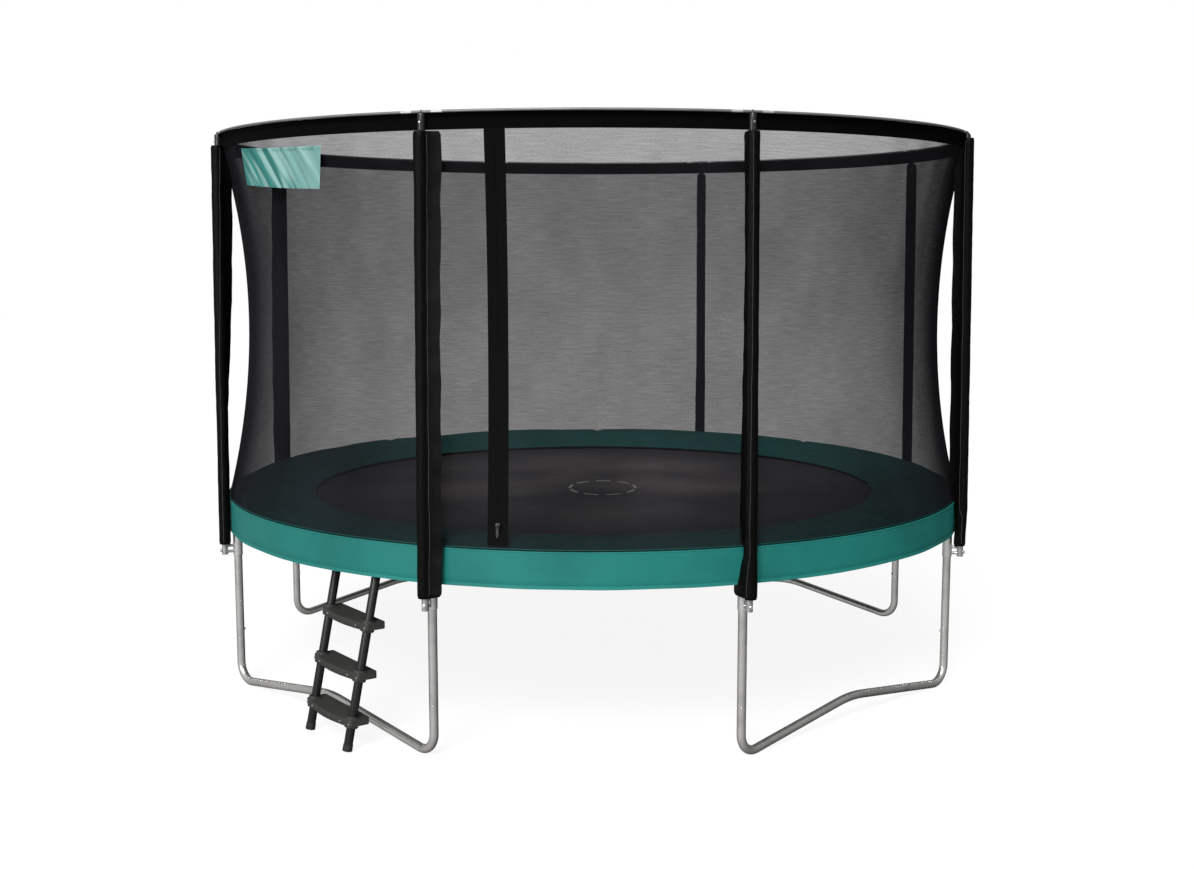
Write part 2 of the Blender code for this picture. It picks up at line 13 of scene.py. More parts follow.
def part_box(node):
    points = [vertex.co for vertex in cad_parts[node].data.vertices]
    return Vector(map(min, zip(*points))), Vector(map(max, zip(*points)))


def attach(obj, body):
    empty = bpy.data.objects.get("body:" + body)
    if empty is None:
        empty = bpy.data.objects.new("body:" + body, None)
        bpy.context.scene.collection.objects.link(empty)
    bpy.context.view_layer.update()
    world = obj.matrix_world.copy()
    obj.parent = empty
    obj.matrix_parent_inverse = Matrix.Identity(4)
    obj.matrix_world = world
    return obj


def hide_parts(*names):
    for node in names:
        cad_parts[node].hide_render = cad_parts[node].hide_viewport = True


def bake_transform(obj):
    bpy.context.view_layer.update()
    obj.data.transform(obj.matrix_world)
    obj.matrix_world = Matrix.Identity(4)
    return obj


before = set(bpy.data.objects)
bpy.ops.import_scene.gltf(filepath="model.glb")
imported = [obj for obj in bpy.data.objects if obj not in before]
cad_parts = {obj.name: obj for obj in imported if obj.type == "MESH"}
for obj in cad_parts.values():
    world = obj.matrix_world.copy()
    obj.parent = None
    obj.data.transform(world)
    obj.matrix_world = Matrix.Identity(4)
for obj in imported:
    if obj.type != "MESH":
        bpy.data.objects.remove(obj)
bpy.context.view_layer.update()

# Sizes shared with the CAD model
FRAME_R = 1.810
FRAME_Z = 0.845
TUBE_R = 0.019
POSTS = [math.radians(a) for a in (20.45, 69.55, 110.45, 159.55, 200.45, 249.55, 290.45, 339.55)]
STRAIGHT = math.radians(3.0)
POST_R = FRAME_R * math.cos(STRAIGHT)
SOCKET_R = 0.022
SOCKET_LOW_Z = 0.627
SLEEVE_HALF = 0.092
LEG_TOP_Z = 0.780
LEG_JOINT_Z = 0.221
LEG_SCREW_Z = 0.262
SPIGOT_TOP_Z = 0.300
SPIGOT_R = 0.0155
FOOT_BEND_R = 0.083
APEX_Z = 0.107
POLE_R = 0.015
POLE_LOW = (1.868, 0.632)
POLE_HIGH = (1.842, 2.6040)
POLE_BOLT_Z = (0.652, 2.570)
SPACER_Z = (0.646, 0.674)
SPACER_R = 0.007
COVER_Z = (0.684, 2.536)
COVER_R = 0.0272
RING_R = 1.840
RING_Z = 2.6100
RING_TUBE_R = 0.0055
CLIP_R = 0.0066
NET_WAIST_R = 1.715
NET_WAIST_Z = 1.740
NET_CURVE_R = 3.200
NET_LOW_Z = 0.897
NET_TOP_Z = 2.545
# Share of the light that passes the net face-on, at its foot and at its top
NET_OPEN = (0.424, 0.364)
ZIP_X = -0.355
ZIP_SIZE = (0.083, 1.66)
MAT_R = 1.590
MAT_TOP_Z = 0.862
MAT_HEM = 0.045
EMBLEM_R = 0.168
EMBLEM_DASHES = 9.0
HEM_STITCHES = 1200.0
SPRING_Z = 0.856
SPRING_COUNT = 72
SPRING_OUT_R = 1.762
SPRING_COIL_R = 0.0062
SPRING_WIRE_R = 0.0014
PAD_IN_R = 1.4165
PAD_OUT_R = 1.8342
PAD_MIDDLE_Z = 0.8845
PAD_FALL = 0.008
PAD_HALF = 0.0095
PAD_PUFF = 0.041
SKIRT_R = 1.8360
SKIRT_LOW_Z = 0.739
SKIRT_TOP_Z = 0.8885
SKIRT_HEM_Z = 0.7535
BANNER_R = 1.8195
# Azimuth in degrees and height of the banner's corners: top left, top right, bottom right, bottom left
BANNER_CORNERS = ((-57.6, 2.519), (-36.8, 2.499), (-37.2, 2.325), (-55.6, 2.358))
BANNER_SIZE = (0.651, 0.160)
BANNER_SLANT = 0.75
# Azimuth in degrees and height of the strap's far end
BANNER_TIE = (-61.4, 2.546)
LADDER_AZIMUTH = math.radians(-34.92)
LADDER_FACING = math.radians(-53.0)
LADDER_TOP_R = 1.6975
LADDER_REF_Z = 0.830
LADDER_LEAN = math.radians(11.725)
LADDER_HALF = 0.176
LADDER_RAIL_R = 0.019
LADDER_RAIL_TOP_Z = 0.800
HOOK_R = 0.0238
TREAD_HEIGHTS = (0.126, 0.317, 0.5225)
TREAD_OVERHANG = 0.031
TREAD_FRONT = 0.026
TREAD_BULGE = 0.020
TREAD_BACK = 0.068
TREAD_GROOVES = 9

UP = Vector((0.0, 0.0, 1.0))
FRONT = Vector((0.0, -1.0, 0.0))


# ---------------------------------------------------------------- materials


def set_inputs(node, values):
    for name, value in values.items():
        node.inputs[name].default_value = value


class Surface:
    """A node material that starts as one Principled shader and is built up by its methods."""

    def __init__(self, name, colour, roughness, metallic=0.0, specular=0.5):
        self.material = bpy.data.materials.new(name)
        self.material.use_nodes = True
        self.nodes = self.material.node_tree.nodes
        self.links = self.material.node_tree.links
        self.shader = self.nodes["Principled BSDF"]
        set_inputs(self.shader, {"Base Color": (*colour, 1.0), "Roughness": roughness})
        set_inputs(self.shader, {"Metallic": metallic, "Specular IOR Level": specular})
        self.colour = colour
        self.coords = self.nodes.new("ShaderNodeTexCoord")
        self.colour_out = None
        self.height_out = None

    def math(self, operation, first, second=None, third=None):
        node = self.nodes.new("ShaderNodeMath")
        node.operation = operation
        for socket, value in zip(node.inputs, (first, second, third)):
            if value is None:
                continue
            if isinstance(value, bpy.types.NodeSocket):
                self.links.new(value, socket)
            else:
                socket.default_value = value
        return node.outputs[0]

    def length(self, x, y):
        squares = [self.math("MULTIPLY", value, value) for value in (x, y)]
        return self.math("SQRT", self.math("ADD", *squares))

    def axes(self, source):
        """The X and Y of a set of texture coordinates."""
        split = self.nodes.new("ShaderNodeSeparateXYZ")
        self.links.new(self.coords.outputs[source], split.inputs["Vector"])
        return split.outputs["X"], split.outputs["Y"]

    def dashes(self, x, y, radius, half_width, count, gap):
        """A mask of dashes along a ring about the middle of x and y."""
        ring = self.math("COMPARE", self.length(x, y), radius, half_width)
        turn = self.math("MULTIPLY", self.math("ARCTAN2", y, x), count)
        return self.math("MULTIPLY", ring, self.math("GREATER_THAN", self.math("SINE", turn), gap))

    def noise(self, scale, detail=3.0, stretch=(1.0, 1.0, 1.0), source="Object"):
        mapped = self.nodes.new("ShaderNodeMapping")
        set_inputs(mapped, {"Scale": stretch})
        self.links.new(self.coords.outputs[source], mapped.inputs["Vector"])
        node = self.nodes.new("ShaderNodeTexNoise")
        set_inputs(node, {"Scale": scale, "Detail": detail, "Roughness": 0.55})
        self.links.new(mapped.outputs["Vector"], node.inputs["Vector"])
        return node.outputs["Fac"]

    def ramp(self, value, low, high, start=0.0, end=1.0):
        node = self.nodes.new("ShaderNodeMapRange")
        node.interpolation_type = "SMOOTHSTEP"
        self.links.new(value, node.inputs["Value"])
        set_inputs(node, {"From Min": low, "From Max": high, "To Min": start, "To Max": end})
        return node.outputs["Result"]

    def paint(self, mask, colour):
        """Mixes a colour over what is there, where the mask is 1."""
        node = self.nodes.new("ShaderNodeMix")
        node.data_type = "RGBA"
        if self.colour_out is None:
            node.inputs["A"].default_value = (*self.colour, 1.0)
        else:
            self.links.new(self.colour_out, node.inputs["A"])
        node.inputs["B"].default_value = (*colour, 1.0)
        self.links.new(mask, node.inputs["Factor"])
        self.colour_out = node.outputs["Result"]
        self.links.new(self.colour_out, self.shader.inputs["Base Color"])

    def rough(self, value, low, high, start, end):
        self.links.new(self.ramp(value, low, high, start, end), self.shader.inputs["Roughness"])

    def bump(self, height, distance, strength=1.0):
        node = self.nodes.new("ShaderNodeBump")
        set_inputs(node, {"Distance": distance, "Strength": strength})
        self.links.new(height, node.inputs["Height"])
        if self.height_out is not None:
            self.links.new(self.height_out, node.inputs["Normal"])
        self.height_out = node.outputs["Normal"]
        self.links.new(self.height_out, self.shader.inputs["Normal"])

    def weave(self, pitch, source="UV"):
        """Height of a plain weave of that pitch in metres."""
        threads = [self.math("MULTIPLY", axis, math.tau / pitch) for axis in self.axes(source)]
        return self.math("MULTIPLY", *[self.math("SINE", thread) for thread in threads])


def steel(name, colour, roughness, metallic=0.85):
    made = Surface(name, colour, roughness, metallic)
    dull = made.noise(9.0, 4.0)
    made.paint(made.ramp(dull, 0.45, 0.75), tuple(c * 0.80 for c in colour))
    spangle = made.noise(140.0, 2.0)
    made.rough(spangle, 0.3, 0.7, roughness * 0.9, roughness * 1.15)
    made.bump(made.noise(320.0, 2.0), 0.0002, 0.05)
    return made.material


def vinyl(name, colour, roughness, shade=0.82, specular=0.3):
    """Coated fabric: faint weave under a smooth skin, with slow changes of tone."""
    made = Surface(name, colour, roughness, specular=specular)
    made.paint(made.ramp(made.noise(2.3, 3.0), 0.42, 0.72), tuple(c * shade for c in colour))
    made.rough(made.noise(30.0, 3.0), 0.3, 0.7, roughness * 0.85, roughness * 1.2)
    made.bump(made.noise(11.0, 3.0, (1.0, 1.0, 0.35)), 0.006, 0.35)
    made.bump(made.weave(0.0016), 0.00025, 0.35)
    return made.material


def webbing(name, colour, pitch=0.0022):
    made = Surface(name, colour, 0.75, specular=0.04)
    made.paint(made.ramp(made.noise(420.0, 2.0, (1.0, 1.0, 0.2)), 0.45, 0.8), tuple(c * 1.9 for c in colour))
    made.bump(made.weave(pitch), 0.0006, 0.6)
    return made.material


def moulded(name, colour, roughness):
    made = Surface(name, colour, roughness, specular=0.35)
    made.paint(made.ramp(made.noise(26.0, 4.0), 0.45, 0.8), tuple(c * 1.35 for c in colour))
    made.rough(made.noise(90.0, 3.0), 0.3, 0.7, roughness * 0.85, roughness * 1.15)
    made.bump(made.noise(900.0, 2.0), 0.0002, 0.4)
    return made.material


def net_material():
    """Knitted net: it lets light through, less so where it is gathered near its top and seen edge-on."""
    made = Surface("net_cloth", (0.009, 0.009, 0.011), 0.8, specular=0.03)
    made.paint(made.ramp(made.noise(3.0, 2.0, (1.0, 1.0, 0.3)), 0.4, 0.7), (0.013, 0.0135, 0.017))
    share = made.ramp(made.axes("UV")[1], 0.0, 1.65, *NET_OPEN)
    courses = made.ramp(made.noise(1.0, 2.0, (9.0, 150.0, 1.0), "UV"), 0.3, 0.7, -0.035, 0.035)
    stitches = made.ramp(made.noise(1.0, 1.0, (150.0, 150.0, 1.0), "UV"), 0.3, 0.7, -0.03, 0.03)
    patches = made.ramp(made.noise(1.0, 2.0, (3.0, 2.2, 1.0), "UV"), 0.3, 0.7, -0.022, 0.022)
    share = made.math("ADD", made.math("ADD", share, patches), made.math("ADD", courses, stitches))
    # A slanting line of sight meets more thread.
    edge = made.nodes.new("ShaderNodeLayerWeight")
    set_inputs(edge, {"Blend": 0.5})
    straight_on = made.math("MAXIMUM", made.math("SUBTRACT", 1.0, edge.outputs["Facing"]), 0.06)
    slant = made.math("SUBTRACT", made.math("DIVIDE", 1.0, straight_on), 1.0)
    layers = made.math("ADD", 1.0, made.math("MULTIPLY", made.math("POWER", slant, 1.3), 0.33))
    through = made.math("POWER", share, layers)
    made.links.new(made.math("SUBTRACT", 1.0, through), made.shader.inputs["Alpha"])
    return made.material


def banner_material():
    """Thin shiny cloth with painted highlights along slanting creases, lighter towards its right end."""
    made = Surface("green_cloth", (0.020, 0.188, 0.168), 0.42, specular=0.3)
    x, y = made.axes("UV")
    slant = made.math("ADD", x, made.math("MULTIPLY", y, BANNER_SLANT))
    crease_highlight_noise = made.nodes.new("ShaderNodeTexNoise")
    crease_highlight_noise.noise_dimensions = "2D"
    set_inputs(crease_highlight_noise, {"Scale": 1.0, "Detail": 1.5})
    place = made.nodes.new("ShaderNodeCombineXYZ")
    made.links.new(made.math("MULTIPLY", slant, 17.0), place.inputs["X"])
    made.links.new(made.math("MULTIPLY", y, 3.5), place.inputs["Y"])
    made.links.new(place.outputs["Vector"], crease_highlight_noise.inputs["Vector"])
    crease_highlight = made.ramp(crease_highlight_noise.outputs["Fac"], 0.42, 0.62, 0.0, 0.90)
    right = made.ramp(slant, 0.38, 0.52, 0.0, 0.62)
    # Painted highlights along the creases, in the same pale teal that makes the right end lighter.
    made.paint(made.math("MAXIMUM", crease_highlight, right), (0.270, 0.470, 0.440))
    made.bump(made.weave(0.0014), 0.0002, 0.3)
    return made.material


def mat_material():
    """Woven jumping cloth, paler in its middle, with hem stitches and a plain ring of dashes."""
    made = Surface("mat_cloth", (0.036, 0.032, 0.035), 0.75, specular=0.15)
    x, y = made.axes("Object")
    # Paler out to 0.35 m from the middle, fading to the base colour at 1.5 m, in patches.
    paler_middle = made.ramp(made.length(x, y), 0.35, 1.50, 1.0, 0.0)
    patches = made.ramp(made.noise(1.5, 1.0), 0.10, 0.75)
    made.paint(made.math("MULTIPLY", paler_middle, patches), (0.175, 0.157, 0.155))
    across = made.math("SUBTRACT", x, 0.048)
    deep = made.math("DIVIDE", made.math("ADD", y, 0.055), 1.32)
    made.paint(made.dashes(across, deep, EMBLEM_R, 0.007, EMBLEM_DASHES, -0.45), (0.50, 0.50, 0.48))
    made.paint(made.dashes(x, y, MAT_R - MAT_HEM, 0.0015, HEM_STITCHES, -0.2), (0.12, 0.12, 0.12))
    made.bump(made.weave(0.0024, "Object"), 0.0005, 0.6)
    return made.material


GALVANISED = steel("galvanised_steel", (0.70, 0.69, 0.67), 0.26)
SOCKET_STEEL = steel("socket_steel", (0.80, 0.80, 0.79), 0.20)
POLE_STEEL = steel("pole_steel", (0.50, 0.51, 0.51), 0.34)
DARK_STEEL = steel("pole_top_steel", (0.055, 0.055, 0.053), 0.3, 0.7)
RING_STEEL = steel("ring_steel", (0.22, 0.22, 0.22), 0.42, 0.3)
FERRULE = steel("ring_ferrule", (0.60, 0.60, 0.60), 0.4, 0.3)
BRIGHT_STEEL = steel("spring_steel", (0.72, 0.72, 0.72), 0.26, 0.9)
BLACK_STEEL = steel("black_steel", (0.008, 0.008, 0.009), 0.38, 0.1)
BLACK_COVER = vinyl("black_cover", (0.0022, 0.0022, 0.0021), 0.40, specular=0.07)
# Piping down each cover's side that faces -Y: a seam whose lighter grey is also a painted highlight line.
COVER_PIPING_HIGHLIGHT = vinyl("cover_piping_highlight", (0.045, 0.045, 0.042), 0.5, specular=0.2)
GREEN_VINYL = vinyl("green_vinyl", (0.014, 0.200, 0.176), 0.46, specular=0.22)
GREEN_HEM = vinyl("green_hem", (0.018, 0.222, 0.196), 0.48, specular=0.22)
# The pad's top and the net's foot hem: the skirt's green painted about a third as bright, as painted shade
# for the net's shadow over the pad.
PAD_SHADED_VINYL = vinyl("pad_vinyl_painted_shade", (0.010, 0.070, 0.065), 0.5, specular=0.2)
GREEN_CLOTH = banner_material()
BLACK_WEB = webbing("black_webbing", (0.0016, 0.0016, 0.0016))
ZIP_WEB = webbing("zip_webbing", (0.0042, 0.0042, 0.0042))
BLACK_PLASTIC = moulded("black_plastic", (0.034, 0.034, 0.031), 0.5)
RUBBER = moulded("rubber", (0.012, 0.012, 0.012), 0.75)
NET = net_material()
MAT = mat_material()


# ---------------------------------------------------------------- mesh helpers


def around(azimuth, radius, z):
    return Vector((radius * math.sin(azimuth), -radius * math.cos(azimuth), z))


def circle(radius, z, steps):
    return [around(math.tau * k / steps, radius, z) for k in range(steps)]


def spun(x, y, angle):
    """x and y turned counter-clockwise by an angle."""
    return x * math.cos(angle) - y * math.sin(angle), x * math.sin(angle) + y * math.cos(angle)


def ripple(azimuth, scale, third):
    """Noise that meets itself after a full turn."""
    return noise.noise(Vector((math.sin(azimuth) * scale, math.cos(azimuth) * scale, third)))


def piece(name, mesh, look, sharp=35.0):
    obj = bpy.data.objects.new(name, mesh)
    bpy.context.collection.objects.link(obj)
    if not mesh.materials:
        mesh.materials.append(look)
    mesh.shade_smooth()
    if sharp is not None:
        mesh.set_sharp_from_angle(angle=math.radians(sharp))
    return obj


def placed(obj, node=None, body="root"):
    """Hides the CAD node that a piece replaces, if any, and hangs the piece on the body that it moves with.
    """
    if node:
        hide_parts(node)
    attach(obj, body)
    return obj


def grid(name, rows, around_closed=False, along_closed=False, caps=False):
    """A skin over equal rows of points. UV: U is the distance along a row, V the distance between rows."""
    count = len(rows[0])
    mesh = bpy.data.meshes.new(name)
    points = [tuple(p) for row in rows for p in row]
    faces = []
    corners = []
    across = [0.0]
    for k in range(count):
        across.append(across[-1] + (Vector(rows[0][(k + 1) % count]) - Vector(rows[0][k])).length)
    down = [0.0]
    for i in range(len(rows)):
        down.append(down[-1] + (Vector(rows[(i + 1) % len(rows)][0]) - Vector(rows[i][0])).length)
    for i in range(len(rows) if along_closed else len(rows) - 1):
        for k in range(count if around_closed else count - 1):
            n, j = (k + 1) % count, (i + 1) % len(rows)
            faces.append((i * count + k, i * count + n, j * count + n, j * count + k))
            corners += [(across[k], down[i]), (across[k + 1], down[i])]
            corners += [(across[k + 1], down[i + 1]), (across[k], down[i + 1])]
    if caps:
        for i in (0, len(rows) - 1):
            faces.append(tuple(i * count + k for k in range(count))[:: -1 if i == 0 else 1])
            corners += [(0.0, 0.0)] * count
    mesh.from_pydata(points, [], faces)
    layer = mesh.uv_layers.new(name="metres")
    layer.data.foreach_set("uv", np.array(corners, dtype=np.float32).ravel())
    return mesh


def joined(name, meshes):
    """One mesh of several, which share materials."""
    points, faces, corners, slots, looks = [], [], [], [], []
    for mesh in meshes:
        start = len(points)
        points += [tuple(v.co) for v in mesh.vertices]
        corners += [tuple(c.uv) for c in mesh.uv_layers[0].data]
        local = []
        for look in mesh.materials:
            if look not in looks:
                looks.append(look)
            local.append(looks.index(look))
        for polygon in mesh.polygons:
            faces.append(tuple(start + v for v in polygon.vertices))
            slots.append(local[polygon.material_index] if local else 0)
    made = bpy.data.meshes.new(name)
    made.from_pydata(points, [], faces)
    for look in looks:
        made.materials.append(look)
    made.polygons.foreach_set("material_index", slots)
    layer = made.uv_layers.new(name="metres")
    layer.data.foreach_set("uv", np.array(corners, dtype=np.float32).ravel())
    return made


def look_of(mesh, look):
    mesh.materials.append(look)
    return mesh


def path_frames(path, side=None, closed=False):
    """(point, side, other) along a path, turning as little as possible."""
    made = []
    count = len(path)
    before = None
    for i, point in enumerate(path):
        ahead = path[(i + 1) % count] if closed or i + 1 < count else path[i]
        behind = path[i - 1] if closed or i else path[i]
        tangent = (ahead - behind).normalized()
        if before is None:
            side = side if side is not None else tangent.orthogonal()
        else:
            side = before.rotation_difference(tangent) @ side
        side = (side - tangent * side.dot(tangent)).normalized()
        made.append((point, side, tangent.cross(side)))
        before = tangent
    return made


def section(centre, a, b, radius, sides):
    """A ring of points round a centre, from direction a towards b."""
    turns = [math.tau * k / sides for k in range(sides)]
    return [centre + (a * math.cos(t) + b * math.sin(t)) * radius for t in turns]


def tube(name, path, radii, sides=20, closed=False, side=None):
    """A round tube along a path. radii is one radius, or one for each point."""
    if isinstance(radii, float):
        radii = [radii] * len(path)
    frames = path_frames(path, side, closed)
    rows = [section(point, a, b, radius, sides) for (point, a, b), radius in zip(frames, radii)]
    return grid(name, rows, True, closed, not closed)


def straight(name, low, high, profile, sides=24):
    """A turned shape on a straight axis: profile holds (distance from the low end, radius)."""
    axis = (high - low).normalized()
    a = axis.orthogonal().normalized()
    b = axis.cross(a)
    rows = [section(low + axis * distance, a, b, radius, sides) for distance, radius in profile]
    return grid(name, rows, True, False, True)


def rounded_tube(name, low, high, radius, edge=0.0015, sides=24):
    """A straight closed tube with softened ends."""
    length = (high - low).length
    profile = [(0.0, radius - edge), (edge * 0.3, radius - edge * 0.3), (edge, radius)]
    profile += [(length - edge, radius), (length - edge * 0.3, radius - edge * 0.3), (length, radius - edge)]
    return straight(name, low, high, profile, sides)


def open_tube(name, low, high, radius, bore, depth=0.02, sides=24):
    """A tube whose low end shows its wall and bore."""
    length = (high - low).length
    edge = 0.0006
    profile = [(depth, bore), (0.0, bore), (0.0, radius - edge), (edge, radius), (length - edge, radius)]
    profile += [(length, radius - edge)]
    return straight(name, low, high, profile, sides)


def hex_bolt(name, base, direction=FRONT, size=0.013, height=0.006):
    """A hexagon head on a washer, standing on a surface."""
    low = base + direction * 0.0015
    washer = rounded_tube(name, base, low, size * 0.72, 0.0004, 20)
    profile = [(0.0, size * 0.57), (height * 0.85, size * 0.57), (height, size * 0.50)]
    head = straight(name, low, low + direction * height, profile, 6)
    return joined(name, [look_of(washer, BRIGHT_STEEL), look_of(head, BRIGHT_STEEL)])


def turned_copies(name, mesh, azimuths, look, node=None):
    """One piece for each azimuth, sharing a mesh built at azimuth 0."""
    for number, azimuth in enumerate(azimuths, 1):
        obj = placed(piece(f"{name}_{number}", mesh, look), node and f"{node}_{number}")
        obj.rotation_euler.z = azimuth


# ---------------------------------------------------------------- frame and legs


def build_rails():
    for bay in range(8):
        start = POSTS[bay]
        end = POSTS[(bay + 1) % 8]
        if end < start:
            end += math.tau
        clear = 0.002
        steps = 26
        path = [around(start, POST_R, FRAME_Z) + Vector((math.cos(start), math.sin(start), 0.0)) * clear]
        for k in range(steps + 1):
            azimuth = start + STRAIGHT + (end - start - 2 * STRAIGHT) * k / steps
            path.append(around(azimuth, FRAME_R, FRAME_Z))
        path.append(around(end, POST_R, FRAME_Z) - Vector((math.cos(end), math.sin(end), 0.0)) * clear)
        obj = piece(f"rail_{bay + 1}", tube("rail", path, TUBE_R, 24, side=UP), GALVANISED)
        placed(obj, f"frame_rail_{bay + 1}")


def build_t_sections():
    middle = Vector((0.0, -POST_R, FRAME_Z))
    reach = Vector((SLEEVE_HALF, 0.0, 0.0))
    low = Vector((0.0, -POST_R, SOCKET_LOW_Z))
    ends = (middle - reach, middle + reach, low)
    parts = [open_tube("t", end, middle, SOCKET_R, TUBE_R + 0.0004) for end in ends]
    bead = []
    for k in range(48):
        turn = math.tau * k / 48
        x, y = SOCKET_R * math.cos(turn), SOCKET_R * math.sin(turn)
        drop = math.sqrt(max(SOCKET_R**2 - y * y, 1e-9))
        wander = 0.0006 * math.sin(9 * turn)
        bead.append(middle + Vector((x * 1.04, y * 1.04, -max(drop, 0.006) + wander)))
    parts.append(tube("t", bead, 0.0026, 8, closed=True))
    for mesh in parts:
        look_of(mesh, SOCKET_STEEL)
    for sign in (-1, 1):
        base = middle + Vector((sign * SLEEVE_HALF * 0.62, 0.0, -SOCKET_R))
        parts.append(hex_bolt("t", base, -UP, 0.010, 0.004))
    turned_copies("t_joint", joined("t", parts), POSTS, SOCKET_STEEL, "t_section")


def build_leg_tubes():
    low = Vector((0.0, -POST_R, LEG_JOINT_Z))
    high = Vector((0.0, -POST_R, LEG_TOP_Z))
    body = look_of(open_tube("leg", low, high, TUBE_R, 0.0173), GALVANISED)
    base = Vector((0.0, -POST_R + TUBE_R - 0.0005, LEG_SCREW_Z))
    mesh = joined("leg", [body, hex_bolt("leg", base, -FRONT, 0.009, 0.004)])
    turned_copies("leg_tube", mesh, POSTS, GALVANISED, "leg_extension")


def leg_half_path(half):
    """From the top of the spigot down round the foot's bend, towards the apex, with the tube's radius."""
    rise = math.atan2(APEX_Z - TUBE_R, half - FOOT_BEND_R)
    bend_z = TUBE_R + FOOT_BEND_R + 0.0003
    made = [(0.0, SPIGOT_TOP_Z, SPIGOT_R), (0.0, LEG_JOINT_Z + 0.0012, SPIGOT_R)]
    made += [(0.0, LEG_JOINT_Z, 0.0172), (0.0, LEG_JOINT_Z - 0.0012, TUBE_R), (0.0, bend_z + 0.01, TUBE_R)]
    steps = 14
    last = 90 + math.degrees(rise)
    for k in range(steps + 1):
        angle = math.radians(180 + last * k / steps)
        x = FOOT_BEND_R + FOOT_BEND_R * math.cos(angle)
        made.append((x, bend_z + FOOT_BEND_R * math.sin(angle), TUBE_R))
    end_x, end_z, _ = made[-1]
    apex_bend = 0.09
    for k in range(1, 7):
        share = k / 6
        x = end_x + (half - apex_bend - end_x) * share
        made.append((x, end_z + (APEX_Z - end_z) * (x - end_x) / (half - end_x), TUBE_R))
    slope = (APEX_Z - end_z) / (half - end_x)
    for k in range(1, 6):
        share = k / 6
        x = half - apex_bend * (1 - share)
        made.append((x, APEX_Z - slope * apex_bend * (1 - share + share * share / 2), TUBE_R))
    return made


def build_leg_bases():
    span = (POSTS[1] - POSTS[0]) / 2
    half = POST_R * math.sin(span)
    chord_y = -POST_R * math.cos(span)
    left = leg_half_path(half)
    slope = (left[-1][1] - left[-2][1]) / (left[-1][0] - left[-2][0])
    apex = (half, left[-1][1] + slope * 0.004, TUBE_R)
    stations = [(x - half, z, r) for x, z, r in left] + [(0.0, apex[1], TUBE_R)]
    stations += [(half - x, z, r) for x, z, r in left[::-1]]
    path = [Vector((x, chord_y, z)) for x, z, _ in stations]
    mesh = tube("leg_base", path, [r for _, _, r in stations], 24, side=Vector((0.0, 1.0, 0.0)))
    middles = [(POSTS[2 * k] + POSTS[2 * k + 1]) / 2 for k in range(4)]
    turned_copies("leg_foot", mesh, middles, GALVANISED, "leg_base")


# ---------------------------------------------------------------- poles and their covers


def pole_radius_at(z):
    share = (z - POLE_LOW[1]) / (POLE_HIGH[1] - POLE_LOW[1])
    return POLE_LOW[0] + (POLE_HIGH[0] - POLE_LOW[0]) * share


def pole_point(z):
    return Vector((0.0, -pole_radius_at(z), z))


def build_poles():
    low, high = pole_point(POLE_LOW[1]), pole_point(POLE_HIGH[1])
    bare = pole_point(COVER_Z[1] - 0.01)
    parts = [look_of(open_tube("pole", low, bare, POLE_R - 0.0004, 0.0135), POLE_STEEL)]
    parts.append(look_of(rounded_tube("pole", bare, high, POLE_R, 0.003), DARK_STEEL))
    for z in SPACER_Z:
        outer = pole_point(z)
        inner = Vector((0.0, -POST_R - SOCKET_R, z))
        length = (inner - outer).length
        spacer = straight("pole", outer, inner, [(0.0, SPACER_R), (length, SPACER_R)])
        parts.append(look_of(spacer, POLE_STEEL))
    low_bolt, high_bolt = [pole_point(z) + FRONT * POLE_R for z in POLE_BOLT_Z]
    parts.append(hex_bolt("pole", low_bolt - FRONT * 0.0005))
    parts.append(hex_bolt("pole", high_bolt - FRONT * 0.0004, FRONT, 0.006, 0.003))
    turned_copies("pole", joined("pole", parts), POSTS, POLE_STEEL, "net_pole")


# For each post: the direction of the cover's sewn edge at its top, low down and at its foot, in degrees from
# outwards towards +X, then how far that edge reaches and how much higher than the others the cover's top is
COVER_EDGE = [
    (188, 186, 228, 0.041, 0.0),
    (200, 178, 60, 0.034, 0.050),
    (74, 66, 66, 0.041, 0.0),
    (184, 172, 172, 0.041, 0.0),
    (176, 188, 188, 0.041, 0.0),
    (0, 10, 10, 0.041, 0.0),
    (186, 262, 262, 0.041, 0.018),
    (104, 84, 76, 0.056, 0.0),
]
COVER_SHIFT = 0.005


def piping_highlight_point(ring, azimuth):
    """The middle of the cover's width on its front side, facing -Y, where its piping runs as a painted
    highlight line.
    """
    turned = [spun(p.x, p.y, azimuth) for p in ring]
    middle = (min(x for x, _ in turned) + max(x for x, _ in turned)) / 2
    found = None
    for k, (x, y) in enumerate(turned):
        n = (k + 1) % len(ring)
        if (x - middle) * (turned[n][0] - middle) <= 0 and x != turned[n][0]:
            share = (middle - x) / (turned[n][0] - x)
            depth = y + (turned[n][1] - y) * share
            if found is None or depth < found[0]:
                found = (depth, ring[k].lerp(ring[n], share))
    return found[1]


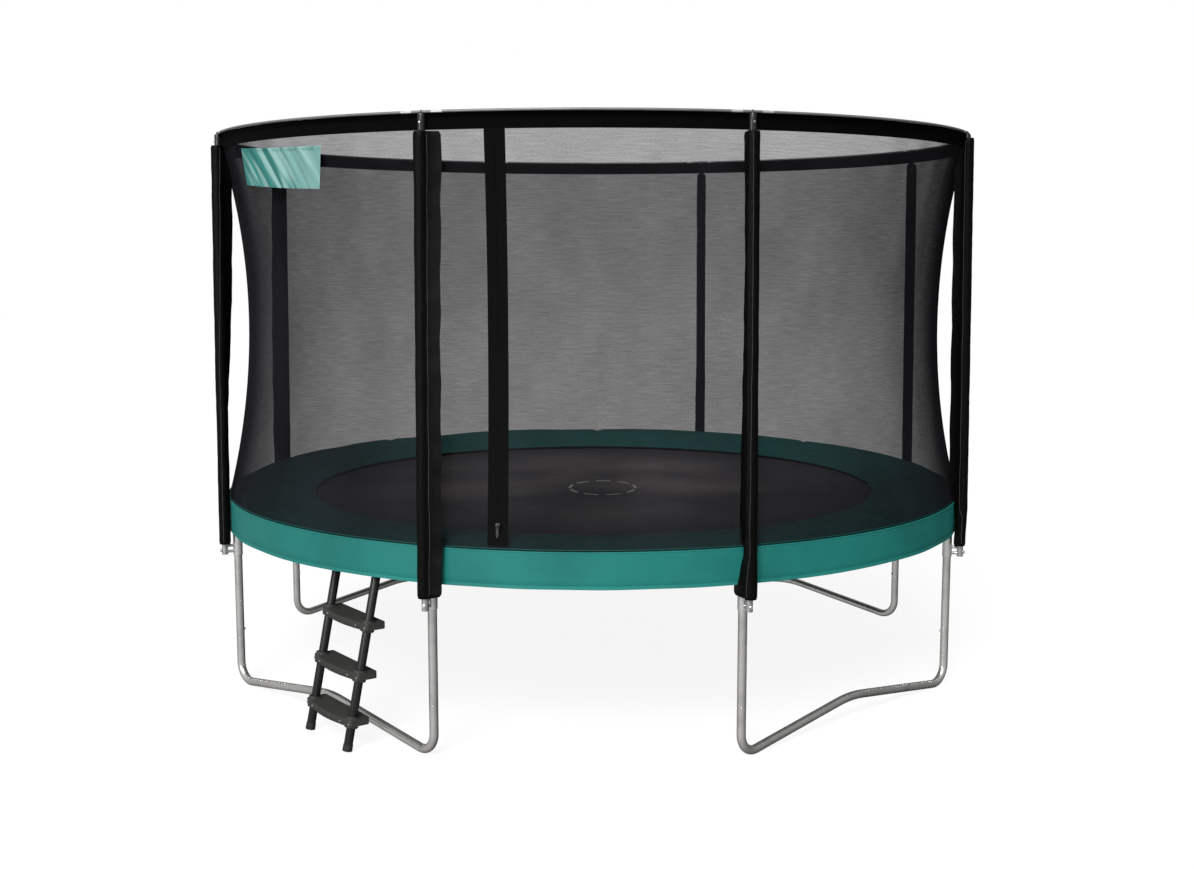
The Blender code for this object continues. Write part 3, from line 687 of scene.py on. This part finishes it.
def cover_mesh(number, azimuth, edge_top, edge_low, edge_foot, reach, raised):
    """Foam in a black vinyl cover, with the flat sewn edge along one side, piping in a lighter grey that is
    also a painted highlight line down the side facing -Y, and soft wrinkles.
    """
    rows = []
    piping = []
    steps = 150
    sides = 36
    low, high = COVER_Z[0], COVER_Z[1] + raised
    for i in range(steps + 1):
        share = i / steps
        z = low + (high - low) * share
        foot = max(0.0, 1.0 - share / 0.09) ** 0.6
        edge = edge_low + (edge_top - edge_low) * share
        edge = math.radians(edge + (edge_foot - edge) * foot) + 0.12 * math.sin(5.0 * share + number)
        centre = pole_point(z) - Vector((math.sin(edge), -math.cos(edge), 0.0)) * COVER_SHIFT
        end = min(share, 1 - share) * (high - low)
        close = 0.90 + 0.10 * math.sqrt(min(1.0, end / 0.004))
        trim = min(1.0, share * (high - low) / 0.030)
        trim = math.sqrt(1.0 - (1.0 - trim) ** 2)
        ring = []
        for k in range(sides):
            turn = math.tau * k / sides
            off = abs(turn - math.pi)
            tail = max(0.0, 1.0 - off / 0.42)
            wave = noise.noise(Vector((math.cos(turn) * 0.8, math.sin(turn) * 0.8 + number * 7.0, z * 9.0)))
            fine = noise.noise(Vector((math.cos(turn) * 2.0, math.sin(turn) * 2.0, z * 34.0 + number * 5.0)))
            radius = (COVER_R + 0.0016 * wave + 0.0007 * fine) * close
            x = radius * math.sin(turn)
            y = -radius * math.cos(turn)
            if tail > 0:
                x *= 1.0 - 0.62 * tail
                y += reach * tail * close * trim * (1.0 + 0.04 * math.sin(40.0 * share + number))
                x += 0.004 * tail * noise.noise(Vector((z * 14.0, number * 3.0, 0.0)))
            # The tail points along +y of the section; the section turns so that it points at the sewn edge.
            spin = edge - math.pi
            ring.append(centre + Vector((*spun(x, y, spin), 0.0)))
        rows.append(ring)
        if 0 < i < steps:
            # The piping follows where the cover faces -Y; its lighter grey is a painted highlight.
            piping.append(piping_highlight_point(ring, azimuth))
    skin = look_of(grid("cover", rows, True, False, True), BLACK_COVER)
    return joined("cover", [skin, look_of(tube("piping", piping, 0.0014, 6), COVER_PIPING_HIGHLIGHT)])


def build_covers():
    for number, azimuth in enumerate(POSTS, 1):
        mesh = cover_mesh(number, azimuth, *COVER_EDGE[number - 1])
        obj = piece(f"pole_cover_{number}", mesh, BLACK_COVER, 60)
        placed(obj, f"pole_sleeve_{number}")
        obj.rotation_euler.z = azimuth


# ---------------------------------------------------------------- top ring and net


def build_top_ring():
    path = circle(RING_R, RING_Z, 180)
    parts = [look_of(tube("ring", path, RING_TUBE_R - 0.0002, 14, closed=True, side=UP), RING_STEEL)]
    for azimuth in POSTS:
        for sign in (-1, 1):
            start = azimuth + sign * 0.023
            end = azimuth + sign * 0.049
            run = [around(start + (end - start) * k / 4, RING_R, RING_Z) for k in range(5)]
            parts.append(look_of(tube("ring", run, RING_TUBE_R, 14, side=UP), FERRULE))
    placed(piece("top_ring_tube", joined("ring", parts), RING_STEEL), "top_ring")
    saddle = []
    for k in range(13):
        turn = math.radians(-100 + 200 * k / 12)
        y, z = -RING_R - CLIP_R * math.sin(turn), RING_Z + CLIP_R * math.cos(turn) - 0.0012
        saddle.append(Vector((0.0, y, z)))
    strap = look_of(tube("clip", saddle, 0.0022, 8), BLACK_PLASTIC)
    turned_copies("ring_clip", strap, POSTS, BLACK_PLASTIC)


def net_radius(z):
    return NET_WAIST_R + NET_CURVE_R - math.sqrt(NET_CURVE_R**2 - (z - NET_WAIST_Z) ** 2)


def net_point(azimuth, z, out=0.0):
    """The net's surface, with faint tension folds near its top and slow waves about its waist."""
    share = (z - NET_LOW_Z) / (NET_TOP_Z - NET_LOW_Z)
    ends = abs(2 * share - 1) ** 3
    folds = 0.0022 * ends * math.sin(azimuth * 44.0 + 1.5 * math.sin(azimuth * 7.0))
    slow = 0.004 * ripple(azimuth, 3.0, z * 0.8)
    return around(azimuth, net_radius(z) - 0.001 + folds * share + slow * (1 - ends) + out, z)


def build_net():
    rows = 34
    columns = 200
    for name, first in (("front", -60.0), ("right", 60.0), ("left", 180.0)):
        start = math.radians(first)
        end = start + math.tau / 3
        skin = []
        for i in range(rows + 1):
            z = NET_LOW_Z + (NET_TOP_Z - NET_LOW_Z) * i / rows
            skin.append([net_point(start + (end - start) * k / columns, z) for k in range(columns + 1)])
        obj = placed(piece(f"net_sheet_{name}", grid("net", skin), NET, None), f"net_{name}")


def band(name, profile, look, steps=240):
    """A strip of webbing round the net, through (radius, height) stations."""
    skin = []
    for radius, z in profile:
        ring = []
        for i in range(steps):
            azimuth = math.tau * i / steps
            ring.append(around(azimuth, radius + 0.0010 * ripple(azimuth, 9.0, z * 30.0), z))
        skin.append(ring)
    return placed(piece(name, grid(name, skin, True), look, None))


def build_net_bands():
    """The hem round the net's top, which reaches out to the ring, and the narrow hem at its foot."""
    face = net_radius(NET_TOP_Z) + 0.0015
    profile = [(face, NET_TOP_Z - 0.004), (face + 0.0012, 2.560)]
    profile += [(face + 0.0016, 2.580), (face + 0.003, 2.594)]
    profile += [(RING_R - 0.010, 2.6015), (RING_R - 0.004, 2.6045), (RING_R - 0.001, RING_Z - 0.0052)]
    top = band("net_top_band", profile, BLACK_WEB)
    foot = net_radius(NET_LOW_Z) + 0.0008
    profile = [(foot - 0.0075, NET_LOW_Z - 0.001), (foot, NET_LOW_Z - 0.0015)]
    profile += [(foot + 0.0008, NET_LOW_Z), (foot, NET_LOW_Z + 0.0025)]
    low = band("net_low_band", profile, PAD_SHADED_VINYL)


def zip_azimuth(x, z):
    return math.asin(x / net_radius(z))


def build_zip():
    rows = 60
    skin = []
    for i in range(rows + 1):
        z = NET_LOW_Z + 0.012 + (NET_TOP_Z - NET_LOW_Z - 0.014) * i / rows
        line = []
        for k in range(9):
            x = ZIP_X + ZIP_SIZE[0] / 2 * (k / 4 - 1)
            ruffle = 0.0008 * noise.noise(Vector((x * 30.0, z * 16.0, 0.0)))
            line.append(net_point(zip_azimuth(x, z), z, 0.0024 + ruffle))
        skin.append(line)
    strip = placed(piece("zip_strip", grid("zip", skin), ZIP_WEB, None), "zip_band")
    teeth = []
    count = 330
    for i in range(count):
        z = NET_LOW_Z + 0.020 + (NET_TOP_Z - NET_LOW_Z - 0.030) * i / count
        side = 0.0012 if i % 2 else -0.0012
        base = net_point(zip_azimuth(ZIP_X + side, z), z, 0.0026)
        azimuth = zip_azimuth(ZIP_X, z)
        reach = Vector((math.cos(azimuth), math.sin(azimuth), 0.0)) * 0.0026
        tooth = straight("tooth", base - reach, base + reach, [(0.0, 0.0011), (0.0052, 0.0011)], 6)
        teeth.append(look_of(tooth, ZIP_WEB))
    placed(piece("zip_teeth", joined("teeth", teeth), ZIP_WEB))


# Height above the slider's middle, half width and half depth
SLIDER_SECTIONS = [
    (-0.017, 0.006, 0.002),
    (-0.014, 0.009, 0.0036),
    (0.0, 0.0085, 0.004),
    (0.013, 0.011, 0.0036),
    (0.017, 0.008, 0.002),
]


def build_slider():
    low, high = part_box("zip_slider")
    centre = (low + high) / 2
    azimuth = math.asin(ZIP_X / NET_WAIST_R)
    out = around(azimuth, 1.0, 0.0)
    along = Vector((math.cos(azimuth), math.sin(azimuth), 0.0))
    rows = []
    for level, width, depth in SLIDER_SECTIONS:
        ring = []
        for k in range(20):
            turn = math.tau * k / 20
            c, s = math.cos(turn), math.sin(turn)
            x = width * math.copysign(abs(c) ** 0.5, c)
            y = depth * math.copysign(abs(s) ** 0.5, s)
            ring.append(centre + along * x + out * y + UP * level)
        rows.append(ring)
    body = look_of(grid("slider", rows, True, False, True), BLACK_STEEL)
    loop = [centre + out * 0.0035 + UP * 0.008, centre + out * 0.0085 + UP * 0.004]
    loop += [centre + out * 0.0085 - UP * 0.004, centre + out * 0.0035 - UP * 0.008]
    arch = look_of(tube("slider", loop, 0.0012, 8), BLACK_STEEL)
    pull = []
    for level in np.linspace(0.002, -0.040, 9):
        width = 0.0035 + 0.0018 * math.sin(min(1.0, (0.002 - level) / 0.042) * math.pi)
        corners = ((-width, 0.0065), (width, 0.0065), (width, 0.0085), (-width, 0.0085))
        pull.append([centre + along * x + out * y + UP * level for x, y in corners])
    tag = look_of(grid("slider", pull, True, False, True), BLACK_PLASTIC)
    obj = piece("zip_pull", joined("slider", [body, arch, tag]), BLACK_STEEL)
    placed(obj, "zip_slider", "zip_slider")


def banner_place(u, v):
    """Azimuth and height at a share of the banner's width from its left and height from its bottom."""
    top_left, top_right, low_right, low_left = BANNER_CORNERS
    made = []
    for k in (0, 1):
        high = top_left[k] + (top_right[k] - top_left[k]) * u
        low = low_left[k] + (low_right[k] - low_left[k]) * u
        made.append(low + (high - low) * v)
    sag = 0.004 * math.sin(math.pi * u)
    return math.radians(made[0]), made[1] - sag


def build_banner():
    rows, columns = 24, 96
    skin = []
    for i in range(rows + 1):
        v = i / rows
        line = []
        for k in range(columns + 1):
            u = k / columns
            azimuth, z = banner_place(u, v)
            slant = u * BANNER_SIZE[0] + v * BANNER_SIZE[1] * BANNER_SLANT
            fold = math.sin(slant * 52.0 + 0.7 * math.sin(9.0 * u)) + 0.45 * math.sin(slant * 117.0 + 4.0 * v)
            rim = math.sin(math.pi * min(1.0, 7 * min(u, 1 - u)) / 2)
            line.append(around(azimuth, BANNER_R + 0.0030 * fold * rim, z))
        skin.append(line)
    obj = placed(piece("banner_sheet", grid("banner", skin), GREEN_CLOTH, None), "banner")
    bits = []
    count = 70
    for v in (0.955, 0.925):
        for k in range(count):
            ends = [banner_place((k + share) / count, v) for share in (0.2, 0.8)]
            stitch = [around(azimuth, BANNER_R + 0.0012, z) for azimuth, z in ends]
            bits.append(look_of(tube("stitch", stitch, 0.0006, 5), GREEN_VINYL))
    corner_azimuth, corner_z = banner_place(0.008, 0.97)
    corner = around(corner_azimuth, BANNER_R + 0.001, corner_z)
    knot = around(math.radians(BANNER_TIE[0]), BANNER_R + 0.001, BANNER_TIE[1])
    tie = [corner, corner.lerp(knot, 0.5) - UP * 0.004, knot]
    bits.append(look_of(tube("tie", tie, 0.0017, 6), BLACK_WEB))
    trim = placed(piece("banner_trim", joined("trim", bits), GREEN_VINYL))


# ---------------------------------------------------------------- mat, springs and pad


def build_mat():
    rings = 40
    steps = 216
    skin = []
    for i in range(rings + 1):
        skin.append(circle(max(0.001, MAT_R * i / rings), MAT_TOP_Z - 0.0005, steps))
    for inset in (0.0005, MAT_HEM):
        skin.append(circle(MAT_R - inset, MAT_TOP_Z - 0.003, steps))
    obj = piece("mat_sheet", grid("mat", skin, True), MAT, None)
    placed(obj, "jumping_mat", "mat")
    rings = []
    for k in range(SPRING_COUNT):
        azimuth = math.tau * (k + 0.5) / SPRING_COUNT
        corners = [around(azimuth + sign * 0.010, MAT_R - 0.004, SPRING_Z) for sign in (-1, 1)]
        tip = around(azimuth, MAT_R + 0.014, SPRING_Z)
        wire = [corners[0], corners[0].lerp(tip, 0.9), tip, corners[1].lerp(tip, 0.9), corners[1]]
        rings.append(look_of(tube("v_ring", wire, 0.0022, 6, closed=True), BRIGHT_STEEL))
    placed(piece("mat_rings", joined("v_rings", rings), BRIGHT_STEEL), body="mat")


def build_springs():
    low_r = MAT_R + 0.030
    turns = 22
    per_turn = 7
    path = [Vector((0.0, -(MAT_R + 0.010), 0.0)), Vector((0.0, -(MAT_R + 0.020), 0.002))]
    for k in range(turns * per_turn + 1):
        angle = math.tau * k / per_turn
        r = low_r + (SPRING_OUT_R - low_r) * k / (turns * per_turn)
        path.append(Vector((SPRING_COIL_R * math.sin(angle), -r, SPRING_COIL_R * math.cos(angle))))
    path += [Vector((0.0, -(SPRING_OUT_R + 0.012), 0.002)), Vector((0.0, -(SPRING_OUT_R + 0.026), -0.002))]
    mesh = tube("spring", path, SPRING_WIRE_R, 5)
    for k in range(SPRING_COUNT):
        azimuth = math.tau * (k + 0.5) / SPRING_COUNT
        obj = piece(f"spring_{k + 1}", mesh.copy(), BRIGHT_STEEL)
        obj.matrix_world = Matrix.Translation(UP * SPRING_Z) @ Matrix.Rotation(azimuth, 4, "Z")
        if k == 0:
            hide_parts("springs")
        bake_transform(obj)


# The pad's radial seams, halfway between posts
SEAMS = [post + math.radians(gap) / 2 for post, gap in zip(POSTS, (49.1, 40.9) * 4)]


def seam_depth(azimuth, width=0.012):
    near = min(abs((azimuth - s + math.pi) % math.tau - math.pi) for s in SEAMS)
    return math.exp(-((near / width) ** 2))


def pad_lift(azimuth, share):
    """How far the pad puffs up: most near its outer edge, where share is 0.22, and more at the back."""
    if share < 0.22:
        shape = math.sin(math.pi / 2 * share / 0.22) ** 1.3
    else:
        shape = math.cos(math.pi / 2 * (share - 0.22) / 0.78) ** 1.2
    lumps = 0.16 * ripple(azimuth, 5.0, share * 2.5)
    return PAD_PUFF * shape * (1.0 - 0.30 * math.cos(azimuth) + lumps) * (1 - 0.10 * seam_depth(azimuth))


def build_pad():
    """A crowned pad between its outer and inner edges, with a flatter underside."""
    steps = 600
    out_r = PAD_OUT_R - 0.001
    outline = [(k / 24, 1.0) for k in range(25)] + [(1 - k / 6, -0.95) for k in range(7)]
    skin = []
    for share, face in outline:
        r = out_r + (PAD_IN_R - out_r) * share
        crown = math.sqrt(max(0.0, 1 - abs(2 * share - 1) ** 5))
        line = []
        for k in range(steps):
            azimuth = math.tau * k / steps
            half = PAD_HALF * crown * (1 - 0.55 * seam_depth(azimuth))
            wave = 0.0016 * ripple(azimuth, r * 6, 0.3)
            puff = wave * crown + pad_lift(azimuth, share) if face > 0 else 0.0
            line.append(around(azimuth, r, PAD_MIDDLE_Z - PAD_FALL * share + face * half + puff))
        skin.append(line)
    pad = piece("spring_pad_cover", grid("pad", skin, True, True), PAD_SHADED_VINYL, 60)
    placed(pad, "spring_pad")


def build_skirt():
    """A hanging band with a stitched hem, in two close greens, and the piping where it joins the pad."""
    steps = 600
    heights = [SKIRT_TOP_Z, 0.886, 0.878, 0.86, 0.83, 0.80, 0.775, 0.757]
    heights += [SKIRT_HEM_Z, 0.752, 0.745, SKIRT_LOW_Z]
    skin = []
    for z in heights:
        line = []
        drop = (SKIRT_TOP_Z - z) / (SKIRT_TOP_Z - SKIRT_LOW_Z)
        stitch = 0.0012 if 0.7515 < z < 0.7545 else 0.0
        for k in range(steps):
            azimuth = math.tau * k / steps
            wave = 0.0022 * drop * math.sin(azimuth * 24 + 2.0 * math.sin(azimuth * 5))
            wave += 0.0020 * drop * ripple(azimuth, 8, z * 6) - 0.0015 * seam_depth(azimuth, 0.004)
            line.append(around(azimuth, SKIRT_R - 0.001 + wave - stitch, z))
        skin.append(line)
    mesh = look_of(look_of(grid("skirt", skin, True), GREEN_VINYL), GREEN_HEM)
    for polygon in mesh.polygons:
        polygon.material_index = 1 if polygon.center.z < SKIRT_HEM_Z else 0
    skirt = placed(piece("skirt_sheet", mesh, GREEN_VINYL, None), "pad_skirt")
    path = circle(SKIRT_R - 0.0018, SKIRT_TOP_Z, 240)
    placed(piece("pad_piping", tube("piping", path, 0.0028, 10, closed=True), GREEN_HEM))


# ---------------------------------------------------------------- ladder


def ladder_frame():
    across = Vector((math.cos(LADDER_FACING), math.sin(LADDER_FACING), 0.0))
    outward = Vector((math.sin(LADDER_FACING), -math.cos(LADDER_FACING), 0.0))
    along = UP * math.cos(LADDER_LEAN) - outward * math.sin(LADDER_LEAN)
    foot = around(LADDER_AZIMUTH, LADDER_TOP_R, 0.0) + outward * LADDER_REF_Z * math.tan(LADDER_LEAN)
    inward = along.cross(across)
    columns = (across, inward, along, foot)
    made = Matrix.Identity(4)
    for k, column in enumerate(columns):
        for row in range(3):
            made[row][k] = column[row]
    return made


def hook_centres(place):
    outward = Vector((math.sin(LADDER_FACING), -math.cos(LADDER_FACING), 0.0))
    made = []
    for sign in (-1, 1):
        top = place @ Vector((sign * LADDER_HALF, 0.0, LADDER_RAIL_TOP_Z / math.cos(LADDER_LEAN)))
        flat = Vector((top.x, top.y, 0.0))
        b = flat.dot(outward)
        reach = -b + math.sqrt(b * b - flat.length_squared + FRAME_R**2)
        made.append(flat + outward * reach)
    return made


def smooth_path(points, steps=8):
    """A curve through the points (Catmull-Rom)."""
    padded = [points[0] * 2 - points[1], *points, points[-1] * 2 - points[-2]]
    made = []
    for i in range(1, len(padded) - 2):
        a, b, c, d = padded[i - 1 : i + 3]
        for k in range(steps):
            t = k / steps
            bend = (a * 2 - b * 5 + c * 4 - d) * t * t + (b * 3 - a - c * 3 + d) * t**3
            made.append((b * 2 + (c - a) * t + bend) / 2)
    made.append(points[-1])
    return made


def build_ladder_rails(place):
    height = LADDER_RAIL_TOP_Z / math.cos(LADDER_LEAN)
    axis = place.to_3x3() @ UP
    for name, sign, hook in zip(("left", "right"), (-1, 1), hook_centres(place)):
        low = place @ Vector((sign * LADDER_HALF, 0.0, 0.005))
        high = place @ Vector((sign * LADDER_HALF, 0.0, height))
        parts = [look_of(rounded_tube("rail", low, high, LADDER_RAIL_R, 0.001), BLACK_STEEL)]
        shoe = [(0.0, 0.0190), (0.002, 0.0212), (0.028, 0.0206), (0.030, 0.0195)]
        parts.append(look_of(straight("rail", low, low + axis * 0.030, shoe), RUBBER))
        plug = [(0.0, 0.0196), (0.004, 0.0196), (0.009, 0.013), (0.011, 0.008)]
        parts.append(look_of(straight("rail", high - axis * 0.003, high + axis * 0.008, plug), BLACK_PLASTIC))
        azimuth = math.atan2(hook.x, -hook.y)
        over = []
        for turn in (180, 150, 120, 90, 60, 45):
            angle = math.radians(turn)
            radius = hook.length + HOOK_R * math.cos(angle)
            over.append(around(azimuth, radius, FRAME_Z + HOOK_R * math.sin(angle)))
        bend = [high - axis * 0.01, high + axis * 0.012, over[0] - UP * 0.012, *over]
        parts.append(look_of(tube("rail", smooth_path(bend, 5), 0.004, 12), BLACK_STEEL))
        obj = piece(f"ladder_tube_{name}", joined("rail", parts), BLACK_STEEL)
        placed(obj, f"ladder_rail_{name}", "ladder")


def tread_front(x):
    """How far the tread's bowed front stands out from the rails' middle line."""
    if abs(x) > LADDER_HALF:
        return TREAD_FRONT
    return TREAD_FRONT + TREAD_BULGE * math.cos(abs(x) / LADDER_HALF * math.pi / 2)


def tread_mesh():
    """A moulded level tread: bowed front at -Y, grooves along its top, rounded ends and rail collars."""
    end = LADDER_HALF + TREAD_OVERHANG
    outline = []
    for k in range(53):
        share = 0.03 + 0.94 * k / 52
        groove = 0.10 * max(0.0, math.cos(math.tau * TREAD_GROOVES * k / 52))
        outline.append((share, 1.0 - groove if 0.08 < share < 0.92 else 1.0))
    outline += [(0.99, 0.93), (1.0, 0.80), (1.0, -0.80), (0.99, -0.94), (0.96, -1.0)]
    outline += [(0.96 - 0.92 * k / 8, -1.0) for k in range(1, 9)]
    outline += [(0.01, -0.94), (0.0, -0.80), (0.0, 0.80), (0.01, 0.93)]
    rows = []
    steps = [math.sin(math.pi / 2 * math.sin(math.pi / 2 * k / 36)) for k in range(-36, 37)]
    for step in steps:
        x = end * step
        near = min(1.0, (end - abs(x)) / 0.014)
        bend = math.sqrt(max(0.0, 1 - (1 - near) ** 2))
        front = tread_front(x) - 0.013 * (1 - bend)
        back = -TREAD_BACK + 0.013 * (1 - bend)
        thick = 0.0160 * (0.84 + 0.16 * bend)
        depth = front - back
        rows.append([Vector((x, -back - depth * share, level * thick)) for share, level in outline])
    parts = [look_of(grid("tread", rows, True, False, True), BLACK_PLASTIC)]
    half = Vector((0.0, math.sin(LADDER_LEAN), math.cos(LADDER_LEAN))) * 0.024
    for sign in (-1, 1):
        middle = Vector((sign * LADDER_HALF, 0.0, 0.0))
        profile = [(0.0, 0.0270), (0.002, 0.0290), (0.046, 0.0290), (0.048, 0.0270)]
        parts.append(look_of(straight("collar", middle - half, middle + half, profile, 28), BLACK_PLASTIC))
        for x in (LADDER_HALF - 0.046, LADDER_HALF + 0.0205):
            base = Vector((sign * x, -tread_front(x) + 0.0006, -0.002))
            parts.append(hex_bolt("collar", base, FRONT, 0.0065, 0.0022))
    return joined("tread", parts)


def build_treads(place):
    mesh = tread_mesh()
    turn = Matrix.Rotation(LADDER_FACING, 4, "Z")
    for number, level in enumerate(TREAD_HEIGHTS, 1):
        obj = piece(f"ladder_step_{number}", mesh, BLACK_PLASTIC, 40)
        middle = place @ Vector((0.0, 0.0, level / math.cos(LADDER_LEAN)))
        obj.matrix_world = Matrix.Translation(middle) @ turn
        placed(obj, f"ladder_tread_{number}", "ladder")


# ---------------------------------------------------------------- stage, light and camera


def seen_only(obj):
    """Leaves an object out of the lighting and reflections of the others."""
    obj.visible_diffuse = False
    obj.visible_glossy = False
    obj.visible_transmission = False
    obj.visible_shadow = False


def glowing(name, albedo, strength):
    look = bpy.data.materials.new(name)
    look.use_nodes = True
    shader = look.node_tree.nodes["Principled BSDF"]
    set_inputs(shader, {"Base Color": (albedo, albedo, albedo, 1.0), "Roughness": 1.0})
    set_inputs(shader, {"Specular IOR Level": 0.0, "Emission Strength": strength})
    set_inputs(shader, {"Emission Color": (1.0, 1.0, 1.0, 1.0)})
    return look


def build_stage():
    """A pale floor and a white dome."""
    size = 45.0
    dome_r = 40.0
    corners = [[Vector((x, y, 0.0)) for x in (-size, size)] for y in (-size, size)]
    seen_only(piece("floor", grid("floor", corners), glowing("floor", 0.13, 0.90), None))
    lifts = [math.radians(-2 + 92 * i / 12) for i in range(13)]
    rows = [circle(dome_r * math.cos(lift), dome_r * math.sin(lift), 32) for lift in lifts]
    seen_only(piece("backdrop", grid("backdrop", rows, True), glowing("backdrop", 0.0, 1.0), None))


def area_light(name, location, target, size, power):
    data = bpy.data.lights.new(name, "AREA")
    data.shape = "RECTANGLE"
    data.size, data.size_y = size
    data.energy = power
    obj = bpy.data.objects.new(name, data)
    obj.location = location
    obj.rotation_euler = (Vector(target) - Vector(location)).to_track_quat("-Z", "Y").to_euler()
    bpy.context.collection.objects.link(obj)
    return obj


def build_light():
    """A soft key from above, a room brighter at front left, and a tall box for the shiny parts to mirror."""
    world = bpy.data.worlds.new("studio")
    world.use_nodes = True
    nodes, links = world.node_tree.nodes, world.node_tree.links
    background = nodes["Background"]
    set_inputs(background, {"Color": (1.0, 1.0, 1.0, 1.0)})
    coords = nodes.new("ShaderNodeTexCoord")
    side = nodes.new("ShaderNodeVectorMath")
    side.operation = "DOT_PRODUCT"
    side.inputs[1].default_value = (-0.50, -0.75, 0.43)
    tone = nodes.new("ShaderNodeMapRange")
    set_inputs(tone, {"From Min": -1.0, "From Max": 1.0, "To Min": 0.02, "To Max": 0.60})
    links.new(coords.outputs["Generated"], side.inputs[0])
    links.new(side.outputs["Value"], tone.inputs["Value"])
    links.new(tone.outputs["Result"], background.inputs["Strength"])
    bpy.context.scene.world = world
    sun = bpy.data.lights.new("key", "SUN")
    sun.energy = 3.1
    sun.angle = math.radians(24)
    key = bpy.data.objects.new("key", sun)
    key.rotation_euler = (math.radians(50), 0.0, math.radians(-14))
    bpy.context.collection.objects.link(key)
    box = area_light("left_box", (-5.5, -7.0, 2.6), (0.0, 0.0, 1.0), (1.0, 4.0), 190.0)
    box.visible_diffuse = False
    bpy.context.scene.view_settings.view_transform = "Standard"


def build_camera():
    data = bpy.data.cameras.new("camera")
    data.sensor_width = 36.0
    data.lens = 44.595
    camera = bpy.data.objects.new("camera", data)
    camera.location = (0.1107, -7.5723, 2.0867)
    camera.rotation_euler = (math.radians(90.0 - 7.206), 0.0, math.radians(0.6955))
    bpy.context.collection.objects.link(camera)
    bpy.context.scene.camera = camera


build_camera()
build_stage()
build_light()
build_rails()
build_t_sections()
build_leg_tubes()
build_leg_bases()
build_poles()
build_covers()
build_top_ring()
build_net_bands()
build_net()
build_zip()
build_slider()
build_banner()
build_mat()
build_springs()
build_pad()
build_skirt()
ladder_place = ladder_frame()
build_ladder_rails(ladder_place)
build_treads(ladder_place)
